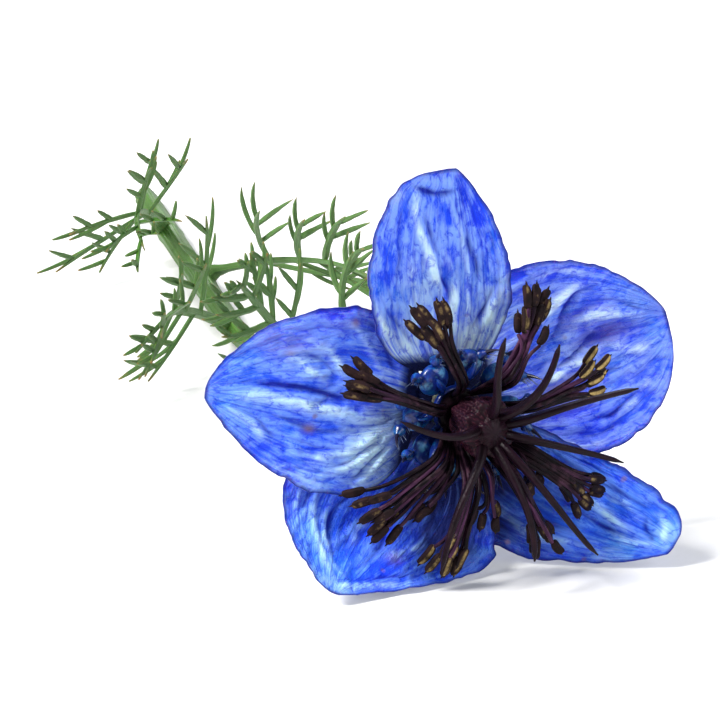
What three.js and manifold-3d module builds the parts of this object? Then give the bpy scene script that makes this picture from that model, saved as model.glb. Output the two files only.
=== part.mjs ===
// A cut love-in-a-mist flower (Nigella) lying on a flat surface, in millimetres, +Z up.
//
// The stem lies behind the bloom and rises to it, so the bloom stands on its two lower petals and
// faces forward (-Y), turned a little to the right. A bloom is built facing +Z in its own frame, with
// its right at +X and its top at +Y, and is then turned to face forward. From the back it holds a
// receptacle on the stem, five broad petal-like sepals, a ring of eight small two-lipped nectaries,
// eight bundles of stamens that arch outwards, and the ovary with its long spread styles. Finely cut
// leaves grow from alternate sides of the stem and point towards the bloom.
// The origin is the middle of the object's box, on the surface that it lies on.

import * as THREE from "three";
import { mergeVertices } from "three/addons/utils/BufferGeometryUtils.js";
import Module from "manifold-3d";

const wasm = await Module();
wasm.setup();

// ---- Driving dimensions: millimetres, and degrees ----

const CLEARANCE = 0.3; // left between neighbouring pieces
const BLADE = 0.6; // thickness of petals and leaves

const BLOOM_HEIGHT = 19.68; // middle of the bloom above the surface
const FACE_TURN = 25; // how far the bloom faces to the right of forward
const FACE_LIFT = 3; // how far it looks up

const RECEPTACLE = { radius: 3, rim: 1.3, back: 2.6 };
const CORE_RADIUS = 1.5; // column that carries the rings and the ovary
const NECTARY_COLLAR = { low: 0.3, high: 1.2, radius: 3 };
const STAMEN_COLLAR = { low: 1.5, high: 2.6, radius: 2.9 };
const OVARY = { low: 3.2, high: 11.2, foot: 2.1, belly: 3.7, carpels: 8, groove: 0.07 };

const STEM = {
  neck: 1.05, // radius behind the receptacle
  foot: 1.7, // radius where it lies on the surface
  arch: [34, 42], // how far it keeps its direction after the bloom, and before it lies down
  touchdown: 92, // from the bloom to where it lies down, seen from above
  lying: 52, // straight stretch on the surface
  heading: 14, // direction of that stretch, left of straight back
  rib: 0.9, // radius in the grooves, as a share of the radius on the ribs
  slant: 0.5, // slope of the cut
};

// Petals, anticlockwise. around is the direction in the face, seat the height of the foot, and rise
// and end are the slopes out of the face at the foot and at the tip. Each side of the outline has its
// half width, and then how drawn out it is towards the foot and towards the tip. roll lifts the
// anticlockwise edge over the next petal, cup lifts both edges, sway bends the tip sideways and
// ruffle waves the edges.
const CLAW = { radius: 3.4, halfWidth: 1.6, share: 0.07 };
const PETALS = [
  {
    name: "petal_right", around: 14.8, length: 27.1, seat: -1.1, rise: -3, end: 7,
    clockwise: [14.4, 0.58, 0.45], anticlockwise: [13.9, 0.42, 0.73],
    roll: -0.03, cup: 1.2, sway: -0.6, ruffle: 0.5, wave: 0.2,
  },
  {
    name: "petal_top", around: 86.4, length: 28.1, seat: -0.4, rise: 11, end: 4,
    clockwise: [7, 0.61, 0.93], anticlockwise: [13.6, 0.46, 0.38],
    roll: 0, cup: 1.6, sway: 3.1, ruffle: 0.4, wave: 1.3,
  },
  {
    name: "petal_left", around: 167.6, length: 30.8, seat: -0.6, rise: 7, end: -2,
    clockwise: [12.2, 0.47, 0.75], anticlockwise: [12, 0.49, 0.98],
    roll: 0.12, cup: 0.8, sway: 0.1, ruffle: 0.45, wave: 2.1,
  },
  {
    name: "petal_low_left", around: 230, length: 25.6, seat: -0.9, rise: -7, end: 46.5,
    clockwise: [13.2, 0.54, 0.72], anticlockwise: [14.6, 0.6, 0.91],
    roll: 0.32, cup: 1.8, sway: -3.5, ruffle: 0.4, wave: 3.4,
  },
  {
    name: "petal_low_right", around: 309.3, length: 29.9, seat: -0.7, rise: 2, end: 59,
    clockwise: [10.1, 0.52, 0.93], anticlockwise: [8.1, 0.63, 0.38],
    roll: 0.13, cup: 2.4, sway: 6, ruffle: 0.5, wave: 4.2,
  },
];
const PETAL_GRID = { along: 14, across: 8 };

const NECTARIES = {
  count: 8,
  first: 38, // direction of one of them in the face
  pouchAt: 6.1, // distance of the pouch from the axis, and its height
  pouchHeight: 2.6,
  lobeReach: 10.2, // the same for the tips of the lower lip
  lobeHeight: 4.6,
};

// Stamen bundles: direction in the face, how far the anthers reach, and how high they stand.
const BUNDLES = [
  { around: 13, reach: 19, height: 7 },
  { around: 61, reach: 18.5, height: 7.4 },
  { around: 114, reach: 18, height: 7 },
  { around: 155, reach: 19.5, height: 6.4 },
  { around: 214, reach: 19.5, height: 7 },
  { around: 250, reach: 19.5, height: 9 },
  { around: 296, reach: 19.5, height: 9.4 },
  { around: 327, reach: 20, height: 8.6 },
];
const STAMEN = {
  perBundle: 4,
  fan: 8, // degrees between the outer two, twice
  radius: 0.34, // of a filament
  trunk: 0.7, // and of a bundle before it parts
  anther: 3.2,
  antherRadius: 0.58,
};

// Styles: direction in the face, reach from the ovary's middle, height of the tip, sideways bend.
const STYLES = [
  { around: 13, reach: 18, height: 15, bend: 2 },
  { around: 57, reach: 13, height: 15.5, bend: -1.5 },
  { around: 92, reach: 13, height: 15.5, bend: 1.5 },
  { around: 164, reach: 14, height: 13.5, bend: 2 },
  { around: 239, reach: 17.5, height: 14, bend: -2 },
  { around: 280, reach: 15.5, height: 16, bend: 1 },
  { around: 306, reach: 19, height: 17, bend: -1 },
  { around: 340, reach: 17, height: 14, bend: 1.5 },
];
const STYLE = { root: 1.15, tip: 0.38 };

// Leaves: distance from the bloom along the stem, side of the stem (degrees from its top, to the
// right seen from the bloom), slant out of the stem, length, spread of the lowest pinnae, how far the
// leaf rises on its way (as a slope), and how far its tip droops from that.
const LEAVES = [
  { name: "leaf_1", at: 46, side: 50, slant: 52, length: 30, spread: 12, climb: -0.1, droop: 4 },
  { name: "leaf_2", at: 62, side: -56, slant: 46, length: 38, spread: 14, climb: 0, droop: 10 },
  { name: "leaf_3", at: 84, side: 58, slant: 44, length: 44, spread: 16, climb: 0, droop: 14 },
  { name: "leaf_4", at: 106, side: -48, slant: 42, length: 44, spread: 17, climb: 0, droop: 16 },
  { name: "leaf_5", at: 128, side: 44, slant: 40, length: 44, spread: 16, climb: 0, droop: 16 },
];
const LEAF = {
  pairs: 5, // of pinnae
  first: 0.26, // where the lowest pair grows, as a share of the length
  last: 0.92, // and the topmost
  angle: 44, // of the pinnae from the rachis
  rachis: 0.95, // half widths
  pinna: 0.85,
  lobe: 0.75,
  tip: 0.28,
  thickness: 0.8,
  lowest: 1.2, // height over the surface, to the middle of a strand
};

// ---- Small helpers ----

const rad = THREE.MathUtils.degToRad;
const { lerp, clamp } = THREE.MathUtils;
const point = (x, y, z) => new THREE.Vector3(x, y, z);
const smooth = (low, high, value) => THREE.MathUtils.smoothstep(value, low, high);

// A number from 0 to 1 that looks random and is always the same for the same n.
function vary(n) {
  const scattered = Math.sin(n * 12.9898) * 43758.5453;
  return scattered - Math.floor(scattered);
}

// A point of the bloom by its direction in the face, distance from the axis and height.
const around = (degrees, distance, height) =>
  point(distance * Math.cos(rad(degrees)), distance * Math.sin(rad(degrees)), height);

// ---- Solids ----

// The manifold solid of a geometry, its shared corners merged.
function manifoldOf(geometry) {
  const bare = geometry.clone();
  bare.deleteAttribute("normal");
  bare.deleteAttribute("uv");
  const merged = mergeVertices(bare, 1e-4);
  return new wasm.Manifold(
    new wasm.Mesh({
      numProp: 3,
      vertProperties: Float32Array.from(merged.attributes.position.array),
      triVerts: Uint32Array.from(merged.index.array),
    }),
  );
}

// One closed geometry that joins overlapping closed geometries.
function fuse(geometries) {
  const whole = geometries.map(manifoldOf).reduce((joined, piece) => joined.add(piece));
  const { vertProperties, triVerts } = whole.getMesh();
  return new THREE.BufferGeometry()
    .setAttribute("position", new THREE.BufferAttribute(vertProperties, 3))
    .setIndex(new THREE.BufferAttribute(triVerts, 1));
}

// A closed tube through rings of corners, which run anticlockwise seen from its end.
function loft(rings) {
  const sides = rings[0].length;
  const middle = (ring) =>
    ring.reduce((sum, corner) => sum.add(corner), point(0, 0, 0)).divideScalar(sides);
  const corners = [...rings.flat(), middle(rings[0]), middle(rings.at(-1))];
  const [startMiddle, endMiddle] = [corners.length - 2, corners.length - 1];
  const end = (rings.length - 1) * sides;
  const triangles = [];
  for (let side = 0; side < sides; side++) {
    const next = (side + 1) % sides;
    for (let base = 0; base < end; base += sides) {
      triangles.push(base + side, base + next, base + sides + next);
      triangles.push(base + side, base + sides + next, base + sides + side);
    }
    triangles.push(startMiddle, next, side);
    triangles.push(endMiddle, end + side, end + next);
  }
  return new THREE.BufferGeometry().setFromPoints(corners).setIndex(triangles);
}

// A section's corners laid across a path at share s of it. outline holds [sideways, up] pairs.
function ringAcross(path, s, up, outline) {
  const step = 1e-3;
  const forward = path(Math.min(1, s + step)).sub(path(Math.max(0, s - step))).normalize();
  const side = point(0, 0, 0).crossVectors(up, forward).normalize();
  const lift = point(0, 0, 0).crossVectors(forward, side);
  return outline.map(([sideways, upwards]) =>
    path(s).addScaledVector(side, sideways).addScaledVector(lift, upwards),
  );
}

// A closed tube along a path, whose section at share s is outline(s).
const sweep = (path, up, outline, steps) =>
  loft(
    Array.from({ length: steps + 1 }, (_, i) => ringAcross(path, i / steps, up, outline(i / steps))),
  );

// The corners of a regular section of a number of sides.
const round = (radius, sides) =>
  Array.from({ length: sides }, (_, i) => {
    const turn = (2 * Math.PI * (i + 0.5)) / sides;
    return [radius * Math.cos(turn), radius * Math.sin(turn)];
  });

// A flat four-cornered section, thickest in the middle.
const lens = (halfWidth, halfThickness) => [
  [halfWidth, 0],
  [0, halfThickness],
  [-halfWidth, 0],
  [0, -halfThickness],
];

// A thin closed blade. surface(s, t) is its middle, s along it from 0 to 1 and t across it from -1
// to 1. Both faces are split into triangles alike, so that they stay one thickness apart.
function blade(surface, along, across) {
  const step = 1e-3;
  const faces = [[], []];
  for (let i = 0; i <= along; i++) {
    for (let j = 0; j <= across; j++) {
      const [s, t] = [i / along, (2 * j) / across - 1];
      const lengthways = surface(Math.min(1, s + step), t).sub(surface(Math.max(0, s - step), t));
      const crossways = surface(s, Math.min(1, t + step)).sub(surface(s, Math.max(-1, t - step)));
      const out = lengthways.cross(crossways).normalize();
      faces[0].push(surface(s, t).addScaledVector(out, BLADE / 2));
      faces[1].push(surface(s, t).addScaledVector(out, -BLADE / 2));
    }
  }
  const count = faces[0].length;
  const front = (i, j) => i * (across + 1) + j;
  const back = (i, j) => front(i, j) + count;
  const triangles = [];
  const quad = (a, b, c, d) => triangles.push(a, b, c, a, c, d);
  for (let i = 0; i < along; i++) {
    for (let j = 0; j < across; j++) {
      quad(front(i, j), front(i + 1, j), front(i + 1, j + 1), front(i, j + 1));
      triangles.push(back(i, j), back(i + 1, j + 1), back(i + 1, j));
      triangles.push(back(i, j), back(i, j + 1), back(i + 1, j + 1));
    }
    quad(front(i, 0), back(i, 0), back(i + 1, 0), front(i + 1, 0));
    quad(front(i, across), front(i + 1, across), back(i + 1, across), back(i, across));
  }
  for (let j = 0; j < across; j++) {
    quad(front(0, j), front(0, j + 1), back(0, j + 1), back(0, j));
    quad(front(along, j), back(along, j), back(along, j + 1), front(along, j + 1));
  }
  return new THREE.BufferGeometry().setFromPoints(faces.flat()).setIndex(triangles);
}

// A flat ring round the bloom's axis.
function collar({ low, high, radius }) {
  const bore = CORE_RADIUS + CLEARANCE;
  const profile = [
    [bore, low],
    [radius, low],
    [radius, high],
    [bore, high],
    [bore, low],
  ].map(([distance, height]) => new THREE.Vector2(distance, height));
  return new THREE.LatheGeometry(profile, 24).rotateX(Math.PI / 2);
}

// ---- Petals ----

// Half the width of one side of a petal at share s: a narrow claw, then a broad blade.
function petalHalfWidth([halfWidth, foot, tip], s) {
  const run = clamp((s - CLAW.share) / (1 - CLAW.share), 0, 1);
  const widest = foot / (foot + tip);
  const full = widest ** foot * (1 - widest) ** tip;
  const broad = (halfWidth - CLAW.halfWidth) * ((run ** foot * (1 - run) ** tip) / full);
  return CLAW.halfWidth * (1 - 0.75 * run) + broad;
}

// The middle surface of a petal. t is 1 on its anticlockwise edge.
function petalSurface(petal, s, t) {
  const { length, cup, roll, sway, ruffle, wave } = petal;
  const outline = t > 0 ? petal.anticlockwise : petal.clockwise;
  const halfWidth = petalHalfWidth(outline, s);
  const share = halfWidth / outline[0];
  const [start, turn] = [rad(petal.rise), rad(petal.end - petal.rise) || 1e-6];
  const slope = start + turn * s;
  const distance = CLAW.radius + (length * (Math.sin(slope) - Math.sin(start))) / turn;
  const height = petal.seat + (length * (Math.cos(start) - Math.cos(slope))) / turn;
  const open = share * smooth(0.08, 0.5, s);
  const edge = Math.abs(t) ** 2.2;
  const waves = Math.sin(6.5 * s + wave) + 0.55 * Math.sin(13 * s + 2.3 * wave + 2 * Math.sign(t));
  const ruffled = ruffle * edge * waves * Math.sign(t);
  const raised = open * (cup * t * t + ruffled) + roll * t * halfWidth;
  const sideways = t * halfWidth + sway * s * s;
  const outward = distance - Math.sin(slope) * raised;
  const [east, north] = [Math.cos(rad(petal.around)), Math.sin(rad(petal.around))];
  return point(
    outward * east - sideways * north,
    outward * north + sideways * east,
    height + Math.cos(slope) * raised,
  );
}

const petal = (shape) =>
  blade((s, t) => petalSurface(shape, s, t), PETAL_GRID.along, PETAL_GRID.across);

// ---- The middle of the bloom ----

// A round rod on a curve through the bloom, with a radius for each ring of corners along it.
function rod(from, bends, to, radii, sides) {
  const curve = bends.length === 1
    ? new THREE.QuadraticBezierCurve3(from, ...bends, to)
    : new THREE.CubicBezierCurve3(from, ...bends, to);
  const away = Math.atan2(to.y, to.x);
  const up = point(-Math.sin(away), Math.cos(away), 0);
  const steps = radii.length - 1;
  const outline = (s) => round(radii[Math.round(s * steps)], sides);
  return sweep((s) => curve.getPoint(s), up, outline, steps);
}

// One nectary: a stalk, a pouch, a lower lip of two lobes with swollen tips, and a small upper lip.
function nectary(direction) {
  const { pouchAt, pouchHeight, lobeReach, lobeHeight } = NECTARIES;
  const rootHeight = (NECTARY_COLLAR.low + NECTARY_COLLAR.high) / 2;
  const pouchMiddle = around(direction, pouchAt, pouchHeight);
  const stalk = rod(
    around(direction, NECTARY_COLLAR.radius - 0.8, rootHeight),
    [around(direction, pouchAt - 1.4, rootHeight)],
    pouchMiddle,
    [0.4, 0.42, 0.5],
    4,
  );
  const pouch = new THREE.SphereGeometry(1, 7, 4).scale(2.1, 1.65, 1.25);
  pouch.rotateY(rad(-18)).rotateZ(rad(direction)).translate(...pouchMiddle);
  const lobes = [-1, 1].map((side) =>
    rod(
      around(direction + 5 * side, pouchAt + 0.6, pouchHeight),
      [around(direction + 9 * side, lobeReach - 1.4, pouchHeight - 0.2)],
      around(direction + 13 * side, lobeReach, lobeHeight),
      [0.8, 0.7, 0.4, 0.65, 0.35],
      5,
    ),
  );
  const lip = rod(
    around(direction, pouchAt - 1, pouchHeight),
    [around(direction, pouchAt - 1, pouchHeight + 1.6)],
    around(direction, pouchAt + 0.9, pouchHeight + 2.2),
    [0.6, 0.5, 0.22],
    4,
  );
  return [stalk, pouch, ...lobes, lip];
}

function nectaryRing() {
  const { count, first } = NECTARIES;
  const each = Array.from({ length: count }, (_, i) => nectary(first + (360 * i) / count));
  return fuse([collar(NECTARY_COLLAR), ...each.flat()]);
}

// One bundle of stamens: filaments grown close together climb beside the ovary and arch outwards,
// where they part and end in hanging anthers.
function stamenBundle({ around: direction, reach, height }, seed) {
  const { perBundle, fan, radius, trunk, anther, antherRadius } = STAMEN;
  const rootHeight = (STAMEN_COLLAR.low + STAMEN_COLLAR.high) / 2;
  const partingAt = around(direction, 0.62 * reach, height + 0.9);
  const together = rod(
    around(direction, STAMEN_COLLAR.radius - 0.5, rootHeight),
    [around(direction, 5.4, 7.2), around(direction, 5.6, height + 2.6)],
    partingAt,
    [0.45, trunk * 0.8, trunk, trunk],
    5,
  );
  const parts = Array.from({ length: perBundle }, (_, n) => {
    const spread = n / (perBundle - 1) - 0.5;
    const [shorter, higher] = [vary(seed + n), vary(seed + n + 0.5)];
    const away = direction + 2 * fan * spread;
    const end = reach * (1 - 0.14 * shorter) - 1.4 * Math.abs(spread);
    const endHeight = height - 1.2 + 2.6 * higher;
    const from = around(direction + 8 * spread, 0.56 * reach, height + 1);
    const elbow = around(away, end - anther, endHeight + 0.7);
    const tip = around(away + 3 * spread, end, endHeight - 0.5);
    const bend = around(direction + 1.1 * fan * spread, 0.74 * reach, height + 1.2 + higher);
    const sac = new THREE.SphereGeometry(1, 5, 4).scale(anther / 2, antherRadius, antherRadius);
    const forward = tip.clone().sub(elbow).normalize();
    sac.applyQuaternion(new THREE.Quaternion().setFromUnitVectors(point(1, 0, 0), forward));
    sac.translate(...elbow.clone().lerp(tip, 0.6));
    return [rod(from, [bend], elbow.lerp(tip, 0.2), [radius, radius, radius * 0.8], 4), sac];
  });
  return [together, ...parts.flat()];
}

function stamenRing() {
  const each = BUNDLES.flatMap((bundle, i) => stamenBundle(bundle, 10 * i + 1));
  return fuse([collar(STAMEN_COLLAR), ...each]);
}

// The ovary: carpels grown together, each a rounded rib, swelling upwards to a shoulder.
function ovary() {
  const { low, high, foot, belly, carpels, groove } = OVARY;
  const sides = 3 * carpels;
  const ring = (s) => {
    const swell = foot + (belly - foot) * Math.sin(rad(112 * Math.min(1, s / 0.9)));
    const shoulder = 1 - 0.45 * smooth(0.84, 1, s);
    return Array.from({ length: sides }, (_, i) => {
      const direction = (360 * i) / sides + STYLES[0].around;
      const rib = 1 - groove * (1 - Math.cos(rad(carpels * (direction - STYLES[0].around))));
      return around(direction, swell * shoulder * rib, lerp(low, high, s));
    });
  };
  return loft([0, 0.16, 0.32, 0.5, 0.68, 0.84, 0.93, 1].map(ring));
}

function pistil() {
  const styles = STYLES.map((style) => {
    const { around: direction, reach, height, bend } = style;
    const from = around(direction, 1.6, OVARY.high - 2.2);
    const aside = point(0, 0, 0).addScaledVector(around(direction + 90, 1, 0), bend);
    const bends = [
      around(direction, 2.6, OVARY.high + 2.2),
      around(direction, 0.55 * reach, height).add(aside),
    ];
    const radii = [0, 1, 2, 3, 4, 5, 6].map((i) => lerp(STYLE.root, STYLE.tip, i / 6));
    return rod(from, bends, around(direction, reach, height), radii, 5);
  });
  return fuse([ovary(), ...styles]);
}

// ---- Stem and leaves ----

// The bloom's own frame: right, up in the face, and the way that it faces.
const facing = point(
  Math.sin(rad(FACE_TURN)) * Math.cos(rad(FACE_LIFT)),
  -Math.cos(rad(FACE_TURN)) * Math.cos(rad(FACE_LIFT)),
  Math.sin(rad(FACE_LIFT)),
);
const UP = point(0, 0, 1);
const right = point(0, 0, 0).crossVectors(UP, facing).normalize();
const top = point(0, 0, 0).crossVectors(facing, right);
const bloomMiddle = point(0, 0, BLOOM_HEIGHT);

// The stem's middle line: an arch down from the bloom, then straight along the surface, on one of
// its flat sides. Its section has a flat side below, this far from its middle.
const restingHeight = STEM.foot * Math.cos(rad(15));
const layingDown = point(-Math.sin(rad(STEM.heading)), Math.cos(rad(STEM.heading)), 0);
const touchdown = (() => {
  const halfway = rad((FACE_TURN + STEM.heading) / 2);
  return point(-Math.sin(halfway), Math.cos(halfway), 0)
    .multiplyScalar(STEM.touchdown)
    .setZ(restingHeight);
})();
const stemArch = new THREE.CubicBezierCurve3(
  bloomMiddle,
  bloomMiddle.clone().addScaledVector(facing, -STEM.arch[0]),
  touchdown.clone().addScaledVector(layingDown, -STEM.arch[1]),
  touchdown,
);
const archLength = stemArch.getLength();
const stemLength = archLength + STEM.lying;

// The stem's middle at a distance from the bloom along it, and its radius there.
const stemPoint = (distance) =>
  distance <= archLength
    ? stemArch.getPointAt(Math.max(0, distance) / archLength)
    : touchdown.clone().addScaledVector(layingDown, distance - archLength);
const stemRadius = (distance) => lerp(STEM.neck, STEM.foot, smooth(0, archLength * 0.9, distance));

// Four flat-topped ribs with a groove between each two, one rib straight down.
const stemSection = (radius) =>
  Array.from({ length: 12 }, (_, i) => {
    const turn = rad(-75 + 30 * i);
    const reach = radius * (i % 3 === 1 ? STEM.rib : 1);
    return [reach * Math.cos(turn), reach * Math.sin(turn)];
  });

function stem() {
  const { radius, back } = RECEPTACLE;
  const core = (height, reach) =>
    stemSection(reach).map(([x, y]) =>
      bloomMiddle
        .clone()
        .addScaledVector(right, -x)
        .addScaledVector(top, y)
        .addScaledVector(facing, height),
    );
  const receptacle = [
    core(STAMEN_COLLAR.high + CLEARANCE, CORE_RADIUS),
    core(0, CORE_RADIUS),
    core(0, radius),
    core(-RECEPTACLE.rim, radius),
    core(-back, radius * 0.72),
  ];
  const [first, steps] = [back + 2.4, 26];
  const path = (s) => stemPoint(lerp(first, stemLength, s));
  const along = Array.from({ length: steps + 1 }, (_, i) => {
    const s = i / steps;
    const section = stemSection(stemRadius(lerp(first, stemLength, s)));
    return ringAcross(path, s, UP, section);
  });
  const cut = along.at(-1).map((corner) =>
    corner.addScaledVector(layingDown, STEM.slant * (corner.z - restingHeight)),
  );
  return loft([...receptacle, ...along.slice(0, -1), cut]);
}

// The height of a leaf's strand, eased so that it comes to lie on the surface and not under it.
function rested(height) {
  const over = height - LEAF.lowest;
  return LEAF.lowest + (over + Math.sqrt(over * over + 2)) / 2;
}

// The strands of a leaf over its own plane, each a quadratic curve whose three corners are [along,
// sideways, up]: the rachis, pinnae in pairs that point forwards, and the lobes that fork from them.
function leafStrands({ length, spread, climb, droop }, seed) {
  const { pairs, first, last, angle, rachis, pinna, lobe } = LEAF;
  const height = (x) => climb * x - droop * (x / length) ** 2;
  const drift = (x) => 0.08 * x * (1 - x / length);
  const halfway = [length / 2, 0.04 * length, (climb * length) / 2];
  const strands = [
    { corners: [[0, 0, 0], halfway, [length, 0, height(length)]], width: rachis, steps: 7 },
  ];
  for (let n = 0; n < 2 * pairs; n++) {
    const [side, share] = [n % 2 ? 1 : -1, Math.floor(n / 2) / (pairs - 1)];
    const dice = (throwing) => vary(seed + n + throwing / 10);
    const x = length * (lerp(first, last, share) - 0.035 * (n % 2) + 0.04 * (dice(1) - 0.5));
    const reach = spread * lerp(1, 0.42, share) * (0.85 + 0.3 * dice(2));
    const turn = rad(lerp(1.1, 0.6, share) * angle + 12 * (dice(3) - 0.5));
    const lift = 0.8 * (dice(4) - 0.4) * reach;
    const from = point(x, drift(x), height(x));
    const offset = (along, aside, up) => point(along, side * aside, up + height(x + along) - height(x));
    const [forwards, sideways] = [reach * Math.cos(turn), reach * Math.sin(turn)];
    const bend = from.clone().add(offset(0.45 * forwards, 0.62 * sideways, 0.6 * lift));
    const tip = from.clone().add(offset(reach * Math.cos(0.55 * turn), sideways, lift));
    strands.push({ corners: [from, bend, tip], width: pinna, steps: 3 });
    if (share < 0.6) {
      const fork = side * (dice(5) < 0.5 ? 1 : -1);
      const start = new THREE.QuadraticBezierCurve3(from, bend, tip).getPoint(0.42);
      const heading = side * turn + fork * rad(38);
      const leaving = point(Math.cos(heading), Math.sin(heading), 0.2);
      const arriving = point(Math.cos(0.5 * heading), Math.sin(0.5 * heading), 0.1);
      const middle = start.clone().addScaledVector(leaving, 0.26 * reach);
      const end = middle.clone().addScaledVector(arriving, 0.26 * reach);
      strands.push({ corners: [start, middle, end], width: lobe, steps: 2 });
    }
  }
  return strands;
}

// A finely cut leaf. Its root is beside the stem, and it leans out from the stem towards the bloom.
function leaf(shape, seed) {
  const back = stemPoint(shape.at + 0.5).sub(stemPoint(shape.at - 0.5)).normalize();
  const side = point(0, 0, 0).crossVectors(UP, back).normalize();
  const lift = point(0, 0, 0).crossVectors(back, side);
  const [turn, slant] = [rad(shape.side), rad(shape.slant)];
  const out = side.multiplyScalar(Math.sin(turn)).addScaledVector(lift, Math.cos(turn));
  const ahead = out.clone().multiplyScalar(Math.sin(slant)).addScaledVector(back, -Math.cos(slant));
  const upper = out.clone().multiplyScalar(Math.cos(slant)).addScaledVector(back, Math.sin(slant));
  const across = point(0, 0, 0).crossVectors(upper, ahead);
  const seat = stemRadius(shape.at) + CLEARANCE + (LEAF.thickness / 2) * Math.cos(slant);
  const root = stemPoint(shape.at).addScaledVector(out, seat);
  const place = ([x, y, z]) =>
    root.clone().addScaledVector(ahead, x).addScaledVector(across, y).addScaledVector(upper, z);
  const strands = leafStrands(shape, seed).map(({ corners, width, steps }) => {
    const curve = new THREE.QuadraticBezierCurve3(...corners.map((corner) => place([...corner])));
    const path = (s) => {
      const at = curve.getPoint(s);
      return at.setZ(rested(at.z));
    };
    const outline = (s) => lens(lerp(width, LEAF.tip, s ** 1.5), LEAF.thickness / 2);
    return sweep(path, upper, outline, steps);
  });
  return fuse(strands);
}

// ---- The flower ----

const PETAL_BLUE = { color: 0x3a63e0, roughness: 0.6 };
const NECTARY_BLUE = { color: 0x123a78, roughness: 0.35 };
const STAMEN_PLUM = { color: 0x3a2230, roughness: 0.6 };
const PISTIL_PLUM = { color: 0x2c1420, roughness: 0.55 };
const STEM_GREEN = { color: 0x4d7a38, roughness: 0.6 };
const LEAF_GREEN = { color: 0x4f8f3a, roughness: 0.6 };

function named(name, geometry, finish) {
  const mesh = new THREE.Mesh(geometry, new THREE.MeshStandardMaterial(finish));
  mesh.name = name;
  return mesh;
}

const bloom = new THREE.Group();
bloom.add(...PETALS.map((shape) => named(shape.name, petal(shape), PETAL_BLUE)));
bloom.add(named("nectaries", nectaryRing(), NECTARY_BLUE));
bloom.add(named("stamens", stamenRing(), STAMEN_PLUM));
bloom.add(named("pistil", pistil(), PISTIL_PLUM));
bloom.quaternion.setFromRotationMatrix(new THREE.Matrix4().makeBasis(right, top, facing));
bloom.position.copy(bloomMiddle);

const flower = new THREE.Group();
flower.add(bloom, named("stem", stem(), STEM_GREEN));
flower.add(...LEAVES.map((shape, i) => named(shape.name, leaf(shape, 100 * (i + 1)), LEAF_GREEN)));

// The origin goes to the middle of the box, on the surface.
const middle = new THREE.Box3().setFromObject(flower, true).getCenter(point(0, 0, 0));
flower.position.set(-middle.x, -middle.y, 0);

export default flower;
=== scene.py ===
from math import atan2, cos, pi, radians, sin

import bpy
import numpy as np
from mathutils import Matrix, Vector


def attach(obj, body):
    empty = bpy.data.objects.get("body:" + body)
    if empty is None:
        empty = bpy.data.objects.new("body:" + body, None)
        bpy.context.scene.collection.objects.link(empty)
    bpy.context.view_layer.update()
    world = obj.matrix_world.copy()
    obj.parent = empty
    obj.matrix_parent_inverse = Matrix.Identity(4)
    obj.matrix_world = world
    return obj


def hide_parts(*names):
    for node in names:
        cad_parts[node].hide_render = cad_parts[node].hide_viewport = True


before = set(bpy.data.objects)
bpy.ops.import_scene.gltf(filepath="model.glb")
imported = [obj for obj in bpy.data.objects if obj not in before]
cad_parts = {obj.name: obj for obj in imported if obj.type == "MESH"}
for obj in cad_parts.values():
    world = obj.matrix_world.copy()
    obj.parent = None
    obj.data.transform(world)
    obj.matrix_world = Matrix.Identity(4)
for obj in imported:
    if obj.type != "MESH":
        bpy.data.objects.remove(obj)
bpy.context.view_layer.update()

# ---- The surface, the light and the camera ----
# A cut flower lies on a pale matt table in a studio with a large soft lamp on either side and a
# bright wall all round. Nothing here belongs to the flower. Sizes in this section are metres.

TABLE_SIZE = 6.0
TABLE_GREYS, TABLE_SPECKLE = (0.74, 0.78), 900.0
CAMERA_TARGET = (0.002, -0.018, 0.0105)
CAMERA_ELEVATION = 20
CAMERA_DISTANCE = 0.62
CAMERA_LENS = 238
STUDIO_COLOUR, STUDIO_STRENGTH = (0.93, 0.96, 1.0), 0.3
LAMPS = [  # name, place, size, watts, colour
    ("lamp_left", (-0.55, -0.35, 0.7), 0.3, 17.0, (1.0, 0.985, 0.965)),
    ("lamp_right", (0.7, -0.5, 0.45), 0.6, 5.0, (0.93, 0.96, 1.0)),
    ("lamp_back", (0.1, 0.8, 0.6), 0.5, 5.5, (1.0, 1.0, 1.0)),
]


def aim(thing, target):
    """Turns a lamp or a camera towards a point."""
    thing.rotation_euler = (Vector(target) - thing.location).to_track_quat("-Z", "Y").to_euler()


def linked(name, data):
    """A new object in the scene."""
    made = bpy.data.objects.new(name, data)
    bpy.context.scene.collection.objects.link(made)
    return made


def node(kind, inputs=None, tree=None, **settings):
    """A shader node. Its sockets are set, or joined where the value is another node's output, and
    then it goes into that node's tree unless a tree is given. Three numbers are a colour."""
    inputs = inputs or {}
    joins = [name for name, value in inputs.items() if isinstance(value, bpy.types.NodeSocket)]
    tree = tree or inputs[joins[0]].id_data
    made = tree.nodes.new("ShaderNode" + kind)
    for name, value in settings.items():
        setattr(made, name, value)
    for name, value in inputs.items():
        if name in joins:
            tree.links.new(value, made.inputs[name])
        else:
            made.inputs[name].default_value = (*value, 1) if isinstance(value, tuple) else value
    return made


def spread(value, low, high, to_low=0.0, to_high=1.0):
    """A value from low to high, turned into one from to_low to to_high."""
    reach = {"From Min": low, "From Max": high, "To Min": to_low, "To Max": to_high}
    return node("MapRange", {"Value": value, **reach}).outputs[0]


def cloudy(place, scale, detail, roughness=0.5, distortion=0.0):
    """Soft cloudy grey."""
    grain = {"Scale": scale, "Detail": detail, "Roughness": roughness, "Distortion": distortion}
    return node("TexNoise", {"Vector": place, **grain}).outputs[0]


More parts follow.
